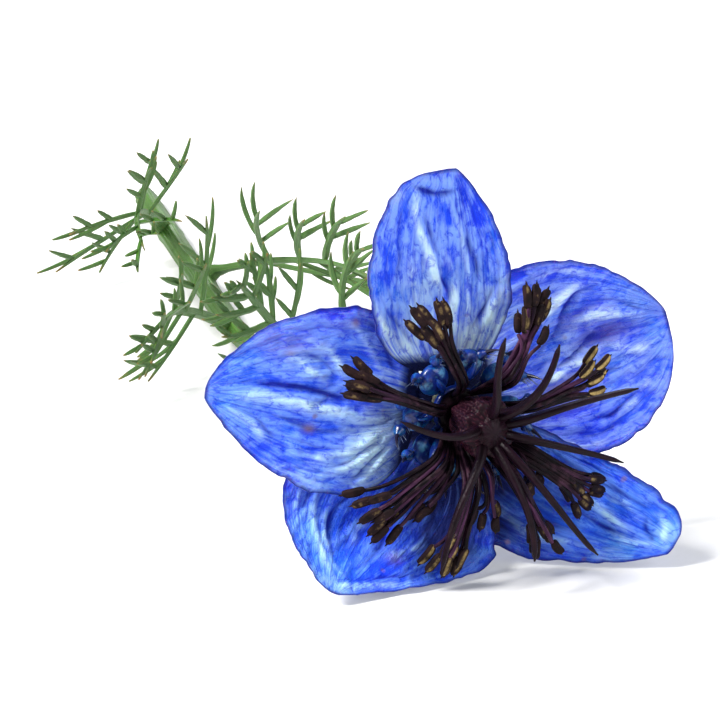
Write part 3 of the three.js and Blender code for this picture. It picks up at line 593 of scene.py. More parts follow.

# ---- Petals ----
# Five broad petal-like sepals on short claws, soft and thin as crepe, vivid blue with paler veins
# between folds, a whitish foot, a thin dark rim and a lavender back. Each lies over the next, and
# the two lowest stand on the surface and are bent forwards by it. Light and shade are painted into
# their colour: highlights on the tops of folds, crumples and facets, and shade in the creases,
# along neighbouring petals' edges and under the stamens.

CLAW_RADIUS, CLAW_HALF_WIDTH, CLAW_SHARE, CLAW_ROOT = 3.4, 2.3, 0.05, 0.9
PETAL_ALONG, PETAL_ACROSS, PETAL_LOWEST = 160, 120, 0.03
RIM_THICKNESS, BLADE_THICKER, CLAW_THICKER = 0.1, 0.2, 0.25
VEIN_DEPTH, EDGE_WAVES, EDGE_NICKS = 0.08, 0.2, 0.08
MAIN_VEINS = -0.78, -0.5, -0.24, 0.0, 0.24, 0.5, 0.78  # where they run, across the petal
PETALS = [
    # clockwise and anticlockwise sides: half width, and how drawn out at the foot and at the tip
    # folds: height, half width, and the line it follows, each of its places given as hundredths of
    # the petal along and across; a crease has a height below 0
    # washes: for each colour, hundredths along and across, reach along and across, and strength
    dict(
        name="right", around=14.8, length=27.1, seat=-1.1, rise=-3, end=7,
        clockwise=(14.4, 0.58, 0.45), anticlockwise=(13.9, 0.42, 0.73),
        roll=-0.03, cup=1.2, sway=-0.6, ruffle=0.5, wave=0.2, violet=0.6, pale=0.45,
        folds=[
            (0.9, 0.65, 30, 30, 37, 40, 52, 60, 70, 76),
            (-0.7, 0.4, 35, 10, 45, 22, 53, 44, 61, 60, 72, 72),
            (0.65, 0.75, 48, 15, 56, 26, 66, 30, 78, 32, 88, 20),
            (-0.6, 0.8, 52, -2, 60, 6, 70, 9, 80, 2),
            (-0.6, 0.3, 36, -12, 46, -7, 58, 1, 66, 14, 78, 18),
            (0.8, 0.45, 33, -20, 42, -17, 52, -12, 62, -8), (0.5, 0.6, 70, -10, 80, -20, 90, -30),
            (-0.45, 0.4, 45, -28, 60, -30, 76, -36), (0.6, 0.5, 32, -50, 45, -52, 60, -50, 74, -55),
            (-0.6, 0.4, 50, -68, 62, -70, 80, -66), (0.45, 0.4, 60, -75, 75, -72, 86, -60),
            (0.5, 0.4, 30, -86, 42, -90, 55, -92), (-0.4, 0.35, 40, -78, 55, -83, 70, -82),
            (0.35, 0.4, 42, 82, 55, 88, 70, 88), (-0.35, 0.35, 74, 50, 84, 45, 93, 30),
        ],
        washes=dict(
            pale=[(80, -50, 3, 3, 0.25), (36, 50, 5, 3, 0.45), (52, -10, 4.5, 2.2, 0.5)],
            deep=[
                (50, 88, 4, 2, 0.8), (55, -80, 5, 1.6, 0.6), (40, -72, 5, 2.4, 1.3),
                (80, 5, 2.8, 3.5, 1.0), (28, 20, 2.5, 1.5, 0.8),
            ],
            violet=[(69, 6, 4.2, 1.5, 1.0), (42, -35, 5, 3, 0.8), (60, 30, 4, 2, 0.6)],
            teal=[(86, 50, 2.5, 3, 0.8), (92, -20, 1.6, 3, 0.6)],
        ),
    ),
    dict(
        name="top", around=86.4, length=27.6, seat=-0.4, rise=11, end=4,
        clockwise=(7.0, 0.6, 0.78), anticlockwise=(13.6, 0.46, 0.36),
        roll=0, cup=1.6, sway=3.1, ruffle=0.4, wave=1.3, violet=0.4, pale=1.0,
        folds=[
            (1.0, 0.5, 92, 60, 85, 55, 76, 50, 67, 40, 57, 32, 46, 22, 38, 17),
            (0.75, 0.55, 62, 16, 52, 9, 42, 6, 30, 8, 16, 12), (-0.6, 0.35, 56, 22, 48, 17, 38, 12),
            (-0.5, 0.4, 84, 44, 72, 34, 62, 24), (-0.9, 0.45, 94.5, 75, 91, 45, 89, 22, 90, 2),
            (-0.5, 0.5, 72, -18, 60, -28, 48, -40),
            (0.5, 0.4, 80, 2, 66, -5, 50, -15, 34, -20, 18, -15),
            (0.65, 0.45, 50, -92, 40, -80, 30, -60, 20, -35),
            (-0.5, 0.35, 46, -72, 34, -50, 22, -25), (0.8, 0.5, 36, -97, 28, -95, 17, -80),
            (0.7, 0.5, 46, 97, 34, 93, 24, 82, 16, 70), (-0.4, 0.4, 40, 82, 28, 72, 18, 55),
            (0.45, 0.6, 62, 55, 50, 50, 36, 50, 24, 55),
            (-0.4, 0.4, 86, 72, 74, 68, 60, 66, 48, 70),
        ],
        washes=dict(
            pale=[
                (30, 30, 3.5, 5, 0.6), (20, -5, 3.5, 4, 1.4), (34, -70, 4, 2.2, 1.0),
                (47, 42, 4.5, 2.2, 0.8), (19, 72, 1.6, 1.2, 1.2), (92, 90, 1.5, 1.5, 0.6),
            ],
            deep=[
                (80, 82, 3, 1.6, 0.9), (82, -25, 3.5, 1.6, 0.7), (60, -75, 4, 1.4, 0.7),
                (58, 86, 4, 1.6, 0.6),
            ],
            teal=[(72, -90, 4, 0.8, 0.6)],
        ),
    ),
    dict(
        name="left", around=167.6, length=30.2, seat=-0.6, rise=7, end=-2,
        clockwise=(12.2, 0.47, 0.66), anticlockwise=(12.0, 0.49, 0.86),
        roll=0.12, cup=0.8, sway=0.1, ruffle=0.45, wave=2.1, violet=0.3, pale=0.52,
        folds=[
            (-0.95, 0.45, 36, -3, 45, -5, 53, -8, 62, -14, 72, -18, 84, -20),
            (0.9, 0.75, 86, 4, 78, 0, 68, 1, 58, 5, 47, 9, 36, 14, 22, 16),
            (0.7, 0.5, 15, 42, 25, 55, 36, 72, 46, 82), (0.7, 0.4, 16, 60, 22, 76, 30, 90),
            (0.65, 0.5, 16, 30, 28, 44, 42, 58, 52, 66), (-0.6, 0.3, 16, 50, 23, 67, 32, 84),
            (-0.5, 0.3, 20, 42, 32, 60, 42, 72), (-0.45, 0.5, 30, 30, 45, 32, 60, 30, 72, 25),
            (0.5, 0.45, 60, -68, 50, -54, 43, -36, 38, -20), (0.5, 0.4, 66, -50, 57, -36, 48, -20),
            (-0.4, 0.35, 63, -58, 53, -45, 44, -27),
            (-0.6, 0.5, 36, -90, 27, -80, 21, -62, 16, -40),
            (0.4, 0.4, 44, -85, 34, -70, 27, -50, 22, -30), (0.4, 0.5, 90, 35, 80, 50, 70, 70),
            (-0.35, 0.4, 86, 25, 74, 45, 62, 62),
        ],
        washes=dict(
            pale=[(50, 80, 4.5, 2.2, 0.6), (24, 50, 3.5, 4, 1.5), (57, -38, 3.5, 1.8, 0.7)],
            deep=[(30, -60, 5, 2.5, 0.5), (52, -90, 7, 2.4, 1.3), (93, -30, 2.5, 3, 0.8)],
            violet=[(68, -70, 5, 2.2, 0.8), (45, -80, 4, 1.5, 0.4)],
            teal=[(88, 30, 3, 2.5, 0.9)],
            spot=[(53, 33, 0.8, 0.55, 1.0), (39, -83, 0.6, 0.5, 0.8), (66, -55, 0.6, 0.3, 0.5)],
            shade=[(19, 12, 2.8, 1.8, 0.7)],
        ),
    ),
    dict(
        name="low_left", around=230, length=25.6, seat=-0.9, rise=-7, end=46.5,
        clockwise=(13.2, 0.54, 0.72), anticlockwise=(14.6, 0.6, 0.91),
        roll=0.32, cup=1.8, sway=-3.5, ruffle=0.4, wave=3.4, violet=0.1, pale=0.25,
        folds=[
            (0.65, 0.45, 56, -62, 66, -60, 76, -52, 86, -40, 93, -10),
            (0.35, 0.4, 48, -75, 60, -82, 72, -80), (-0.6, 0.4, 46, -30, 56, -38, 68, -38, 80, -28),
            (0.55, 0.35, 50, -42, 62, -46, 74, -44, 84, -28, 88, 0),
            (-0.5, 0.4, 50, 12, 62, 20, 74, 22, 84, 14), (0.45, 0.5, 52, -2, 62, -6, 72, -8),
            (0.6, 0.5, 96, 10, 92, 40, 86, 75, 78, 93), (-0.5, 0.45, 88, 25, 80, 55, 70, 78),
            (0.45, 0.5, 70, 32, 60, 45, 48, 50), (-0.5, 0.4, 44, -55, 54, -68, 64, -72),
        ],
        washes=dict(
            pale=[(66, -75, 4, 2.4, 0.25), (96, -10, 1.2, 6, 0.8)],
            deep=[
                (66, -10, 4.2, 2.6, 1.0), (45, 80, 5, 3, 0.8), (38, -70, 2.5, 4, 0.7),
                (58, -92, 5, 2.4, 1.3), (72, -25, 3, 2.5, 0.9),
            ],
            teal=[(86, -20, 3, 3, 0.8), (75, -60, 3, 3, 0.6)],
            spot=[(67, 40, 0.9, 0.9, 0.45)],
            shade=[
                (24, 40, 6.5, 6, 1.5), (42, 62, 6.5, 4.6, 1.6), (50, -100, 3, 1.6, 0.4),
                (55, 78, 4, 3, 0.8),
            ],
        ),
    ),
    dict(
        name="low_right", around=309.3, length=29.9, seat=-0.7, rise=2, end=59,
        clockwise=(10.1, 0.52, 0.93), anticlockwise=(8.1, 0.63, 0.38),
        roll=0.13, cup=2.4, sway=6.0, ruffle=0.5, wave=4.2, violet=0.1, pale=0.3,
        folds=[
            (0.7, 0.5, 40, 34, 52, 36, 63, 24, 75, 14, 86, 8),
            (-0.6, 0.4, 50, 8, 62, -2, 74, 0, 86, -8),
            (0.8, 0.5, 72, -10, 80, -6, 88, -20, 94, -10), (0.5, 0.4, 60, 50, 74, 48, 86, 40),
            (-0.45, 0.4, 58, 62, 70, 66, 82, 60), (-0.5, 0.35, 82, 50, 88, 20, 92, 5),
            (0.7, 0.4, 86, 75, 93, 50, 96, 20), (0.5, 0.5, 30, -50, 45, -60, 60, -62, 75, -50),
            (-0.5, 0.4, 35, -30, 50, -38, 66, -36),
        ],
        washes=dict(
            pale=[(94, 30, 1.8, 2.5, 0.6), (84, -80, 3, 1.6, 0.7)],
            deep=[(68, 85, 4, 2, 0.9), (50, -70, 5, 2, 0.6)],
            violet=[(50, 35, 3, 1.5, 0.4)],
            teal=[(92, 40, 2.5, 3, 1.0), (86, -40, 3, 2, 0.8), (68, 40, 3, 3, 0.5)],
            shade=[(22, -30, 6.5, 6, 1.5), (38, -72, 5.5, 3, 1.3), (56, -85, 4, 2.2, 0.8)],
        ),
    ),
]
# Two of these washes hold painted shadow as well as colour: a deeper blue that also marks shadow
# along a neighbouring petal's edge, and a dark base that also marks shade under the stamens.
WASHES = "pale", "deep", "violet", "teal", "spot", "shade"
FOLD_SPREAD = 1.2  # how far a fold reaches, as a share of its half width
FOLD_STEPS, FOLD_SMOOTHING = 12, 8  # places to each of its corners, and rounds
# how strongly the tops of the folds get painted highlight and the creases painted shade
FOLD_HEIGHT, FOLD_HIGHLIGHT, FOLD_SHADE = 0.75, 1.3, 1.4  # to one of its depth
MAIN_VEIN, BRANCH_VEIN, VEIN_BRANCHES = (0.2, 1.0), (0.13, 0.7), 6  # half width, depth; number
FURROWS, PUCKERS, FINE_CRUMPLES, RIM_CRINKLES = 0.2, 0.13, 0.07, 0.16  # heights


def petal_half_width(petal, s, t):
    """Half the width of a petal on one side, as a narrow claw and then a broad blade."""
    sides = zip(petal["anticlockwise"], petal["clockwise"])
    half_width, foot, tip = (np.where(t > 0, ahead, behind) for ahead, behind in sides)
    run = np.clip((s - CLAW_SHARE) / (1 - CLAW_SHARE), 0, 1)
    widest = foot / (foot + tip)
    full = widest ** foot * (1 - widest) ** tip
    blade = (half_width - CLAW_HALF_WIDTH) * run ** foot * (1 - run) ** tip / full
    return CLAW_HALF_WIDTH * (1 - 0.75 * run) + blade


def petal_surface(petal, s, t):
    """The middle surface of a petal, with t 1 on its anticlockwise edge."""
    half_width = petal_half_width(petal, s, t)
    share = half_width / np.where(t > 0, petal["anticlockwise"][0], petal["clockwise"][0])
    start = radians(petal["rise"])
    turn = radians(petal["end"]) - start
    slope = start + turn * s
    distance = CLAW_RADIUS + petal["length"] * (np.sin(slope) - sin(start)) / turn
    height = petal["seat"] + petal["length"] * (cos(start) - np.cos(slope)) / turn
    side = np.sign(t)
    waves = np.sin(6.5 * s + petal["wave"]) + 0.55 * np.sin(13 * s + 2.3 * petal["wave"] + 2 * side)
    ruffled = petal["ruffle"] * np.abs(t) ** 2.2 * waves * side
    open_here = share * eased(0.08, 0.5, s)
    raised = open_here * (petal["cup"] * t * t + ruffled) + petal["roll"] * t * half_width
    sideways = t * half_width + petal["sway"] * s * s
    outward, height = distance - np.sin(slope) * raised, height + np.cos(slope) * raised
    east, north = cos(radians(petal["around"])), sin(radians(petal["around"]))
    places = outward * east - sideways * north, outward * north + sideways * east, height
    return np.stack(places, -1)


def petal_veins(seed, s, t, half_width):
    """0 off the veins and up to 1 on them: seven from the claw, each with branches that leave it
    forwards on either side."""
    found = np.zeros_like(s)
    paths = []
    for k, place in enumerate(MAIN_VEINS):
        paths.append((place, 0.0, 0.97, 0.0, *MAIN_VEIN, 10 * k))
        for n in range(VEIN_BRANCHES):
            dice = vary(seed + 17 * k + n + np.array([0.1, 0.2, 0.3]))
            start = 0.14 + 0.13 * n + 0.06 * dice[0]
            stop = min(0.98, start + 0.34 + 0.2 * dice[1])
            leaning = (1 if (n + k) % 2 else -1) * (0.3 + 0.3 * dice[2])
            paths.append((place, start, stop, leaning, *BRANCH_VEIN, 10 * k + n + 1))
    for place, start, stop, leaning, width, depth, phase in paths:
        run = np.clip(s - start, 0, None)
        line = place * (1 - 0.25 * eased(0.25, 0.0, s)) + leaning * run * (1 - 0.35 * run)
        line = line + 0.012 * np.sin(19 * s + phase) + 0.006 * np.sin(43 * s + 2 * phase)
        thin = width * (1.25 - 0.7 * s)
        there = eased(start - 0.02, start + 0.03, s) * eased(stop + 0.03, stop - 0.08, s)
        on_line = np.exp(-(((t - line) * half_width / thin) ** 2))
        found = np.maximum(found, depth * there * on_line)
    return found


def smoothed(path, rounds):
    """A path with its kinks worn down, its ends kept."""
    for _ in range(rounds):
        path[1:-1] = (path[:-2] + 2 * path[1:-1] + path[2:]) / 4
    return path


def petal_folds(petal, number, s, t, half_width):
    """The folds and creases of a petal: (height over its smooth shape, share of painted highlight
    on the fold tops, share of painted shade in the creases).
    """
    height, pale, dark = np.zeros_like(s), np.zeros_like(s), np.zeros_like(s)
    x, y = t * half_width, s * petal["length"]
    for order, (depth, width, *places) in enumerate(petal["folds"]):
        line = np.array(places).reshape(-1, 2) / 100
        corners = np.arange(len(line))
        steps = np.linspace(0, corners[-1], FOLD_STEPS * len(line))
        axes = (np.interp(steps, corners, axis) for axis in line.T)
        along, across = (smoothed(axis, FOLD_SMOOTHING) for axis in axes)
        line_x, line_y = across * petal_half_width(petal, along, across), along * petal["length"]
        share = steps / steps[-1]
        wobble = 0.22 * np.sin(7 * share + 2.3 * order + number) * np.sin(pi * share)
        strength = np.sin(pi * (0.06 + 0.88 * share)) ** 0.7
        strength = strength * (0.85 + 0.15 * np.sin(11 * share + order))
        near = np.zeros_like(s)
        for lx, ly, strong in zip(line_x + wobble, line_y, strength):
            apart = ((x - lx) ** 2 + (y - ly) ** 2) / (FOLD_SPREAD * width) ** 2
            near = np.maximum(near, strong * np.exp(-apart))
        height = height + FOLD_HEIGHT * depth * near
        # the tops of the folds get a share of painted highlight, the creases a share of painted
        # shade
        if depth > 0:
            pale = np.maximum(pale, FOLD_HIGHLIGHT * depth * near ** 1.8)
        else:
            dark = np.maximum(dark, -FOLD_SHADE * depth * near ** 1.5)
    return height * (1 - 0.6 * eased(0.7, 0.95, np.abs(t))), pale, dark


def petal_washes(petal, s, t, half_width):
    """Soft patches of colour on a petal, as one field for each colour."""
    found = {colour: np.zeros_like(s) for colour in WASHES}
    for colour, patches in petal["washes"].items():
        for along, across, long, wide, strength in patches:
            along, across = along / 100, across / 100
            x = across * petal_half_width(petal, along, across)
            apart = ((s - along) * petal["length"] / long) ** 2 + ((t * half_width - x) / wide) ** 2
            found[colour] = np.maximum(found[colour], strength * np.exp(-apart))
    return found


def rumple(x, y, seed):
    """Smooth hills and hollows from -1 to 1 over a plane, about one to a unit."""
    column, row = np.floor(x), np.floor(y)
    across, along = eased(0, 1, x - column), eased(0, 1, y - row)
    corners = [vary((column + i) * 1.37 + (row + j) * 53.71 + seed) for j in (0, 1) for i in (0, 1)]
    near = corners[0] + (corners[1] - corners[0]) * across
    far = corners[2] + (corners[3] - corners[2]) * across
    return 2 * (near + (far - near) * along) - 1


def crinkled(x, y, seed):
    """Sharp creases between soft swells, as in crumpled tissue, from -1 to 1."""
    return 1 - 2 * np.abs(rumple(x, y, seed)) ** 0.8


def petal_relief(seed, x, y, rim, opened):
    """How crumpled tissue rises and falls over a petal: long furrows between the veins, puckers
    across them, and crinkles near the rim."""
    wander = 0.7 * rumple(x / 5, y / 4, seed + 20)
    crumple = FURROWS * opened * crinkled(x / 2.1 + wander, y / 7.5, seed)
    crumple = crumple + PUCKERS * opened * crinkled(x / 1.1 + wander, y / 3.1 + 9, seed + 3)
    crumple = crumple + FINE_CRUMPLES * opened * rumple(x / 0.9, y / 0.8, seed + 5)
    edging = RIM_CRINKLES * np.exp(-rim / 1.3) * rumple(x / 1.2 + 2, y / 1.3, seed + 7)
    return crumple + edging * opened


def outwards_from(surface):
    """Which way a surface over a grid of places faces at each of them."""
    return unit(np.cross(np.gradient(surface, axis=0), np.gradient(surface, axis=1)))


def sheet_faces(rows, columns):
    """The faces of a sheet with a front, a back and four edges."""
    front = np.arange(rows * columns).reshape(rows, columns)
    back = front + rows * columns
    squares = [
        (front[:-1, :-1], front[1:, :-1], front[1:, 1:], front[:-1, 1:]),
        (back[:-1, :-1], back[:-1, 1:], back[1:, 1:], back[1:, :-1]),
        (front[:-1, 0], back[:-1, 0], back[1:, 0], front[1:, 0]),
        (front[:-1, -1], front[1:, -1], back[1:, -1], back[:-1, -1]),
        (front[0, :-1], front[0, 1:], back[0, 1:], back[0, :-1]),
        (front[-1, :-1], back[-1, :-1], back[-1, 1:], front[-1, 1:]),
    ]
    return np.concatenate([np.stack(corners, -1).reshape(-1, 4) for corners in squares]).tolist()


def in_bloom(points):
    """Points of the bloom, as [right, up in its face, the way it faces], in their real place."""
    return points @ np.stack([RIGHT, TOP, FACING]) + BLOOM_MIDDLE


def build_petal(number):
    petal = PETALS[number]
    seed = 31.7 * (number + 1)
    # the places lie closer together at the claw, the tip and the edges
    s, t = np.linspace(0, 1, PETAL_ALONG + 1), np.linspace(-1, 1, PETAL_ACROSS + 1)
    s, t = s - 0.04 * np.sin(2 * pi * s) / (2 * pi), t + 0.12 * np.sin(pi * t) / pi
    s, t = np.meshgrid(s, t, indexing="ij")
    half_width = petal_half_width(petal, s, t)
    x, y = t * half_width, s * petal["length"]
    rim = np.minimum((1 - np.abs(t)) * half_width, (1 - s) * petal["length"])
    opened = eased(0.1, 0.35, s)
    veins = petal_veins(seed, s, t, half_width)
    folds, pale, dark = petal_folds(petal, number, s, t, half_width)
    crumple = petal_relief(seed, x, y, rim, opened)
    relief = folds + crumple - VEIN_DEPTH * veins
    relief = relief * eased(0.02, 0.14, s) * eased(0.0, 0.06, 1 - s)
    middle = petal_surface(petal, s, t)
    out = outwards_from(middle)
    # the uneven edge of the outline
    sideways, side = unit(np.gradient(middle, axis=1)), np.sign(t)
    nibbled = EDGE_WAVES * rumple(y / 1.7, side * 3, seed + 11)
    nibbled = nibbled + EDGE_NICKS * rumple(y / 0.7, side * 3, seed + 12)
    nibbled = nibbled * eased(0.0, 0.12, 1 - s) * opened
    middle = middle + sideways * (np.abs(t) ** 6 * side * nibbled)[..., None]
    # the claw runs on into the receptacle
    away = radians(petal["around"])
    inwards = (CLAW_ROOT * eased(0.05, 0.0, s))[..., None] * np.array([-cos(away), -sin(away), 0])
    middle = middle + out * relief[..., None] + inwards
    thick = RIM_THICKNESS + BLADE_THICKER * eased(0, 3.0, rim) + CLAW_THICKER * eased(0.15, 0.0, s)
    skin_deep = outwards_from(middle) * thick[..., None] / 2
    sheets = [in_bloom(sheet).reshape(-1, 3) for sheet in (middle + skin_deep, middle - skin_deep)]
    corners = np.concatenate(sheets)
    corners[:, 2] = np.maximum(corners[:, 2], PETAL_LOWEST)
    # raised and creased carry the shares of painted highlight on the fold tops and painted shade in
    # the creases
    fields = {
        "across": x, "place": t, "along": y, "share": s, "vein": veins, "rim": rim, "raised": pale,
        "creased": dark, "ridge": crumple, **petal_washes(petal, s, t, half_width),
    }
    marks = {name: np.tile(field.ravel(), 2) for name, field in fields.items()}
    marks["under"] = np.repeat([0.0, 1.0], s.size)
    return corners, sheet_faces(*s.shape), marks


def portion(a, b):
    """a times b, kept from 0 to 1."""
    return calc("MULTIPLY", a, b, clamp=True)


def petal_skin():
    """The colour and fine relief of a petal's skin."""
    entries = {"Violet": 0.2, "Pale": 0.5, "Seed": 0.0}
    leaves = {"Colour": "Color", "Height": "Float", "Roughness": "Float"}
    tree, entry, leave = new_group("petal_skin", entries, **leaves)
    across, place, along, share = marks_of(tree, "across", "place", "along", "share")
    vein, rim, ridge, under = marks_of(tree, "vein", "rim", "ridge", "under")
    raised, creased = marks_of(tree, "raised", "creased")
    pale, deep, violet, teal, spot, shade = marks_of(tree, *WASHES)
    seed = entry["Seed"]
    streaks = grain(place, along, 14.0, 0.1, seed, 0.9)
    threads = grain(place, along, 38.0, 0.25, seed, 0.7)
    patches = grain(across, along, 0.16, 0.14, seed, 0.3)
    washed = grain(across, along, 0.11, 0.1, seed, 1.0)
    facet_place = node("CombineXYZ", {0: across, 1: times(along, 0.5), 2: seed}).outputs[0]
    facets = spread(cloudy(facet_place, 1.3, 4.0, 0.68, 0.5), 0.36, 0.64)
    # painted shade in the low places of the facets, whose relief the bump also carries
    facet_shade = spread(facets, 0.35, 0.0)
    streaky, thready = (spread(mark, 0.1, 0.8, 0.45, 1.0) for mark in (streaks, threads))
    # painted light: lighter where the tissue lets more light through along its streaks, and painted
    # highlights on the tops of the crumples and facets
    glow = plus(portion(streaks, 0.4), portion(threads, 0.3))
    glow = plus(plus(glow, spread(ridge, -0.25, 0.3, -0.3, 0.4)), portion(facets, 0.35))
    lit = portion(spread(glow, 0.38, 0.85), spread(entry["Pale"], 0.0, 1.0, 0.45, 0.9))
    sea = portion(plus(teal, spread(washed, 0.6, 0.9, 0.0, 0.5)), streaky)
    flushed = portion(plus(violet, portion(entry["Violet"], 0.15)), thready)
    # painted highlight on the tops of the folds, with the pale patches
    whitish = calc("MULTIPLY", plus(raised, portion(pale, 0.5)), spread(glow, 0.1, 0.8, 0.25, 1.3))
    foot = portion(spread(share, 0.36, 0.14), spread(streaks, 0.3, 0.8, 0.1, 1.0))
    edged = portion(spread(rim, 0.6, 0.05), 0.95)
    # brown specks where the skin is bruised
    speck_place = node("CombineXYZ", {0: across, 1: along, 2: seed}).outputs[0]
    specks = node("TexVoronoi", {"Vector": speck_place, "Scale": 0.17, "Randomness": 1.0})
    specks = spread(specks.outputs["Distance"], 0.08, 0.03)
    # a violet petal is also pale in a warmer way
    warmth = portion(entry["Violet"], 1.4)
    blue = coated(
        blend(patches, (0.01, 0.05, 0.84), (0.026, 0.125, 1.0)),
        # deeper blue: partly the petal's own deeper colour, partly painted shadow where a
        # neighbouring petal's edge lies over it
        (portion(deep, streaky), (0.01, 0.035, 0.78)),
        (portion(sea, 0.85), (0.05, 0.29, 0.9)),
        (lit, blend(warmth, (0.17, 0.4, 1.0), (0.26, 0.4, 1.0))),
        (portion(flushed, spread(raised, 0.7, 0.1)), (0.12, 0.085, 0.42)),
        # painted highlight: the tops of the folds are lit whitish, with the pale patches; the foot
        # is whitish in its own colour
        (whitish, blend(warmth, (0.45, 0.77, 1.0), (0.68, 0.84, 1.0))),
        (portion(foot, entry["Pale"]), blend(warmth, (0.55, 0.82, 1.0), (0.76, 0.92, 1.0))),
        # painted shade in the low places of the facets
        (portion(facet_shade, 0.5), (0.009, 0.032, 0.7)),
        (portion(vein, 0.45), (0.016, 0.042, 0.58)),
        # painted shade: the creases are darker navy
        (spread(creased, 0.05, 0.7, 0.0, 0.92), (0.014, 0.023, 0.36)),
        (edged, (0.01, 0.02, 0.22)),
        # the petal's own dark base near the middle, with painted shade under the stamens and along
        # the neighbouring petals' edges
        (portion(shade, spread(streaks, 0.0, 1.0, 0.9, 0.6)), (0.006, 0.011, 0.085)),
        # the claw, down in the middle under the nectaries, is nearly black: its own dark colour
        # with painted shade
        (spread(share, 0.15, 0.1), (0.008, 0.012, 0.06)),
        (portion(plus(portion(specks, 0.7), spot), 0.85), (0.24, 0.16, 0.22)),
    )
    green_rib = portion(spread(calc("ABSOLUTE", across), 2.2, 0.3), spread(share, 0.9, 0.3))
    lavender = coated(
        blend(streaks, (0.12, 0.16, 0.55), (0.33, 0.38, 0.72)),
        # painted highlight and painted shade on the facets of the back
        (portion(facets, 0.45), (0.42, 0.5, 0.85)),
        (portion(facet_shade, 0.45), (0.07, 0.1, 0.42)),
        (portion(vein, 0.6), (0.2, 0.25, 0.33)),
        # painted shade on the back, in the hollows behind the folds that rise in front
        (portion(raised, 0.4), (0.1, 0.13, 0.45)),
        (portion(edged, 0.6), (0.03, 0.06, 0.35)),
        (portion(green_rib, 0.6), (0.22, 0.33, 0.24)),
    )
    leave("Colour", blend(under, blue, lavender))
    mottle, bumps = cells_in(tree, 900.0, 5200.0)
    height = plus(plus(portion(threads, 0.7), portion(streaks, 0.7)), times(facets, 0.8))
    leave("Height", plus(height, times(bumps, 0.4)))
    leave("Roughness", spread(mottle, 0, 1, 0.45, 0.62))
    return tree


PETAL_SKIN = petal_skin()


def petal_finish(petal, number):
    finish = new_finish(
        f"blue_petal_{petal['name']}", Specular_IOR_Level=0.06,
        Subsurface_Weight=0.08, Subsurface_Scale=0.001,
        Sheen_Weight=0.02, Sheen_Roughness=0.4, Sheen_Tint=(0.4, 0.55, 1, 1),
    )
    entries = {"Violet": petal["violet"], "Pale": petal["pale"], "Seed": 3.7 * number + 1}
    painted = node("Group", entries, finish[1], node_tree=PETAL_SKIN).outputs
    look = painted["Colour"], painted["Roughness"], painted["Height"]
    return dressed(finish, *look, 0.6, 0.0003)


for number, petal in enumerate(PETALS):
    piece = skin(f"crepe_petal_{petal['name']}", *build_petal(number), petal_finish(petal, number))
    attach(piece, "root")
    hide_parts(f"petal_{petal['name']}")

# ---- Nectaries ----
# Eight small stalked cups in a ring inside the petals, hard, glossy and navy to teal. Each has a
# lower lip of two swollen lobes with fine dark tips, a small upper lip over the nectar, and hairs.

NECTARY_FIRST = 38  # direction of the first, in degrees
POUCH_AT, POUCH_HEIGHT, POUCH_TILT = 6.1, 2.6, 18
POUCH_AXES = 2.15, 2.0, 1.3
LOBE_HEIGHT = 4.2
LOBE_REACHES = [9.2, 8.3, 9.1, 9.6, 9.5, 9.2, 9.3, 9.4]  # of the nectaries, round the ring
NECTARY_COLLAR, COLLAR_BORE = (0.3, 1.2, 3.0), 1.35  # low, high, radius
NECTARY_HAIRS = 14  # on each lobe
STALK, POUCH, UPPER_LIP, LOWER_LIP, LIP_TIP, HAIR = range(6)  # the kinds of part of a nectary


def around(degrees, distance, height):
    """A point of the bloom by its direction in the face, distance from the axis and height."""
    turn = radians(degrees)
    return np.array([distance * cos(turn), distance * sin(turn), height], float)


def marked(made, **further):
    """The same (corners, faces, marks) with further marks."""
    corners, faces, marks = made
    return corners, faces, {**marks, **further}


def sideways_at(turn):
    """The direction round the bloom's axis at an angle."""
    return np.array([-sin(turn), cos(turn), 0.0])


def rod(corners, count, sides, radius, flat=1.0, groove=0.0, upright=None):
    """A round tube on a curve through the bloom. radius is a function of the share along it, flat
    its height over its width, and groove the depth of a furrow above, as shares of the radius."""
    path = corners if len(corners) > 4 else curve_points(corners, count)
    s = np.linspace(0, 1, len(path))
    dent = 1 - groove * np.clip(circle(sides)[:, 1:], 0, 1) ** 6
    sections = np.maximum(radius(s), 0.02)[:, None, None] * circle(sides) * dent * [1, flat]
    if upright is None:
        run = path[-1] - path[0]
        steep = abs(run[2]) > 0.6 * np.linalg.norm(run)
        upright = sideways_at(atan2(path[-1][1], path[-1][0])) if steep else UP
    corners, faces = closed(rings_along(path, upright, sections), path[0], path[-1])
    return corners, faces, {
        "along": by_ring(travelled(path), sides), "share": by_ring(s, sides),
        "round": by_side(np.arange(sides) / sides, len(path)),
    }


def ball(middle, axes, sides, rings, relief):
    """An egg, its axes given as three vectors, long one first. relief swells it by its angles."""
    lengthways, turn = np.linspace(0, pi, rings)[:, None], 2 * pi * np.arange(sides)[None] / sides
    swell = np.sin(lengthways) * relief(lengthways, turn)
    weights = -np.cos(lengthways) + 0 * turn, swell * np.cos(turn), swell * np.sin(turn)
    points = middle + np.stack(weights, -1) @ np.stack(axes)
    corners, faces = closed(points[1:-1], points[0, 0], points[-1, 0])
    share = np.linspace(0, 1, rings)
    share = np.concatenate([np.repeat(share[1:-1], sides), [0, 1]])
    return corners, faces, {
        "along": share * 2 * np.linalg.norm(axes[0]), "share": share,
        "round": by_side(np.arange(sides) / sides, rings - 2),
    }


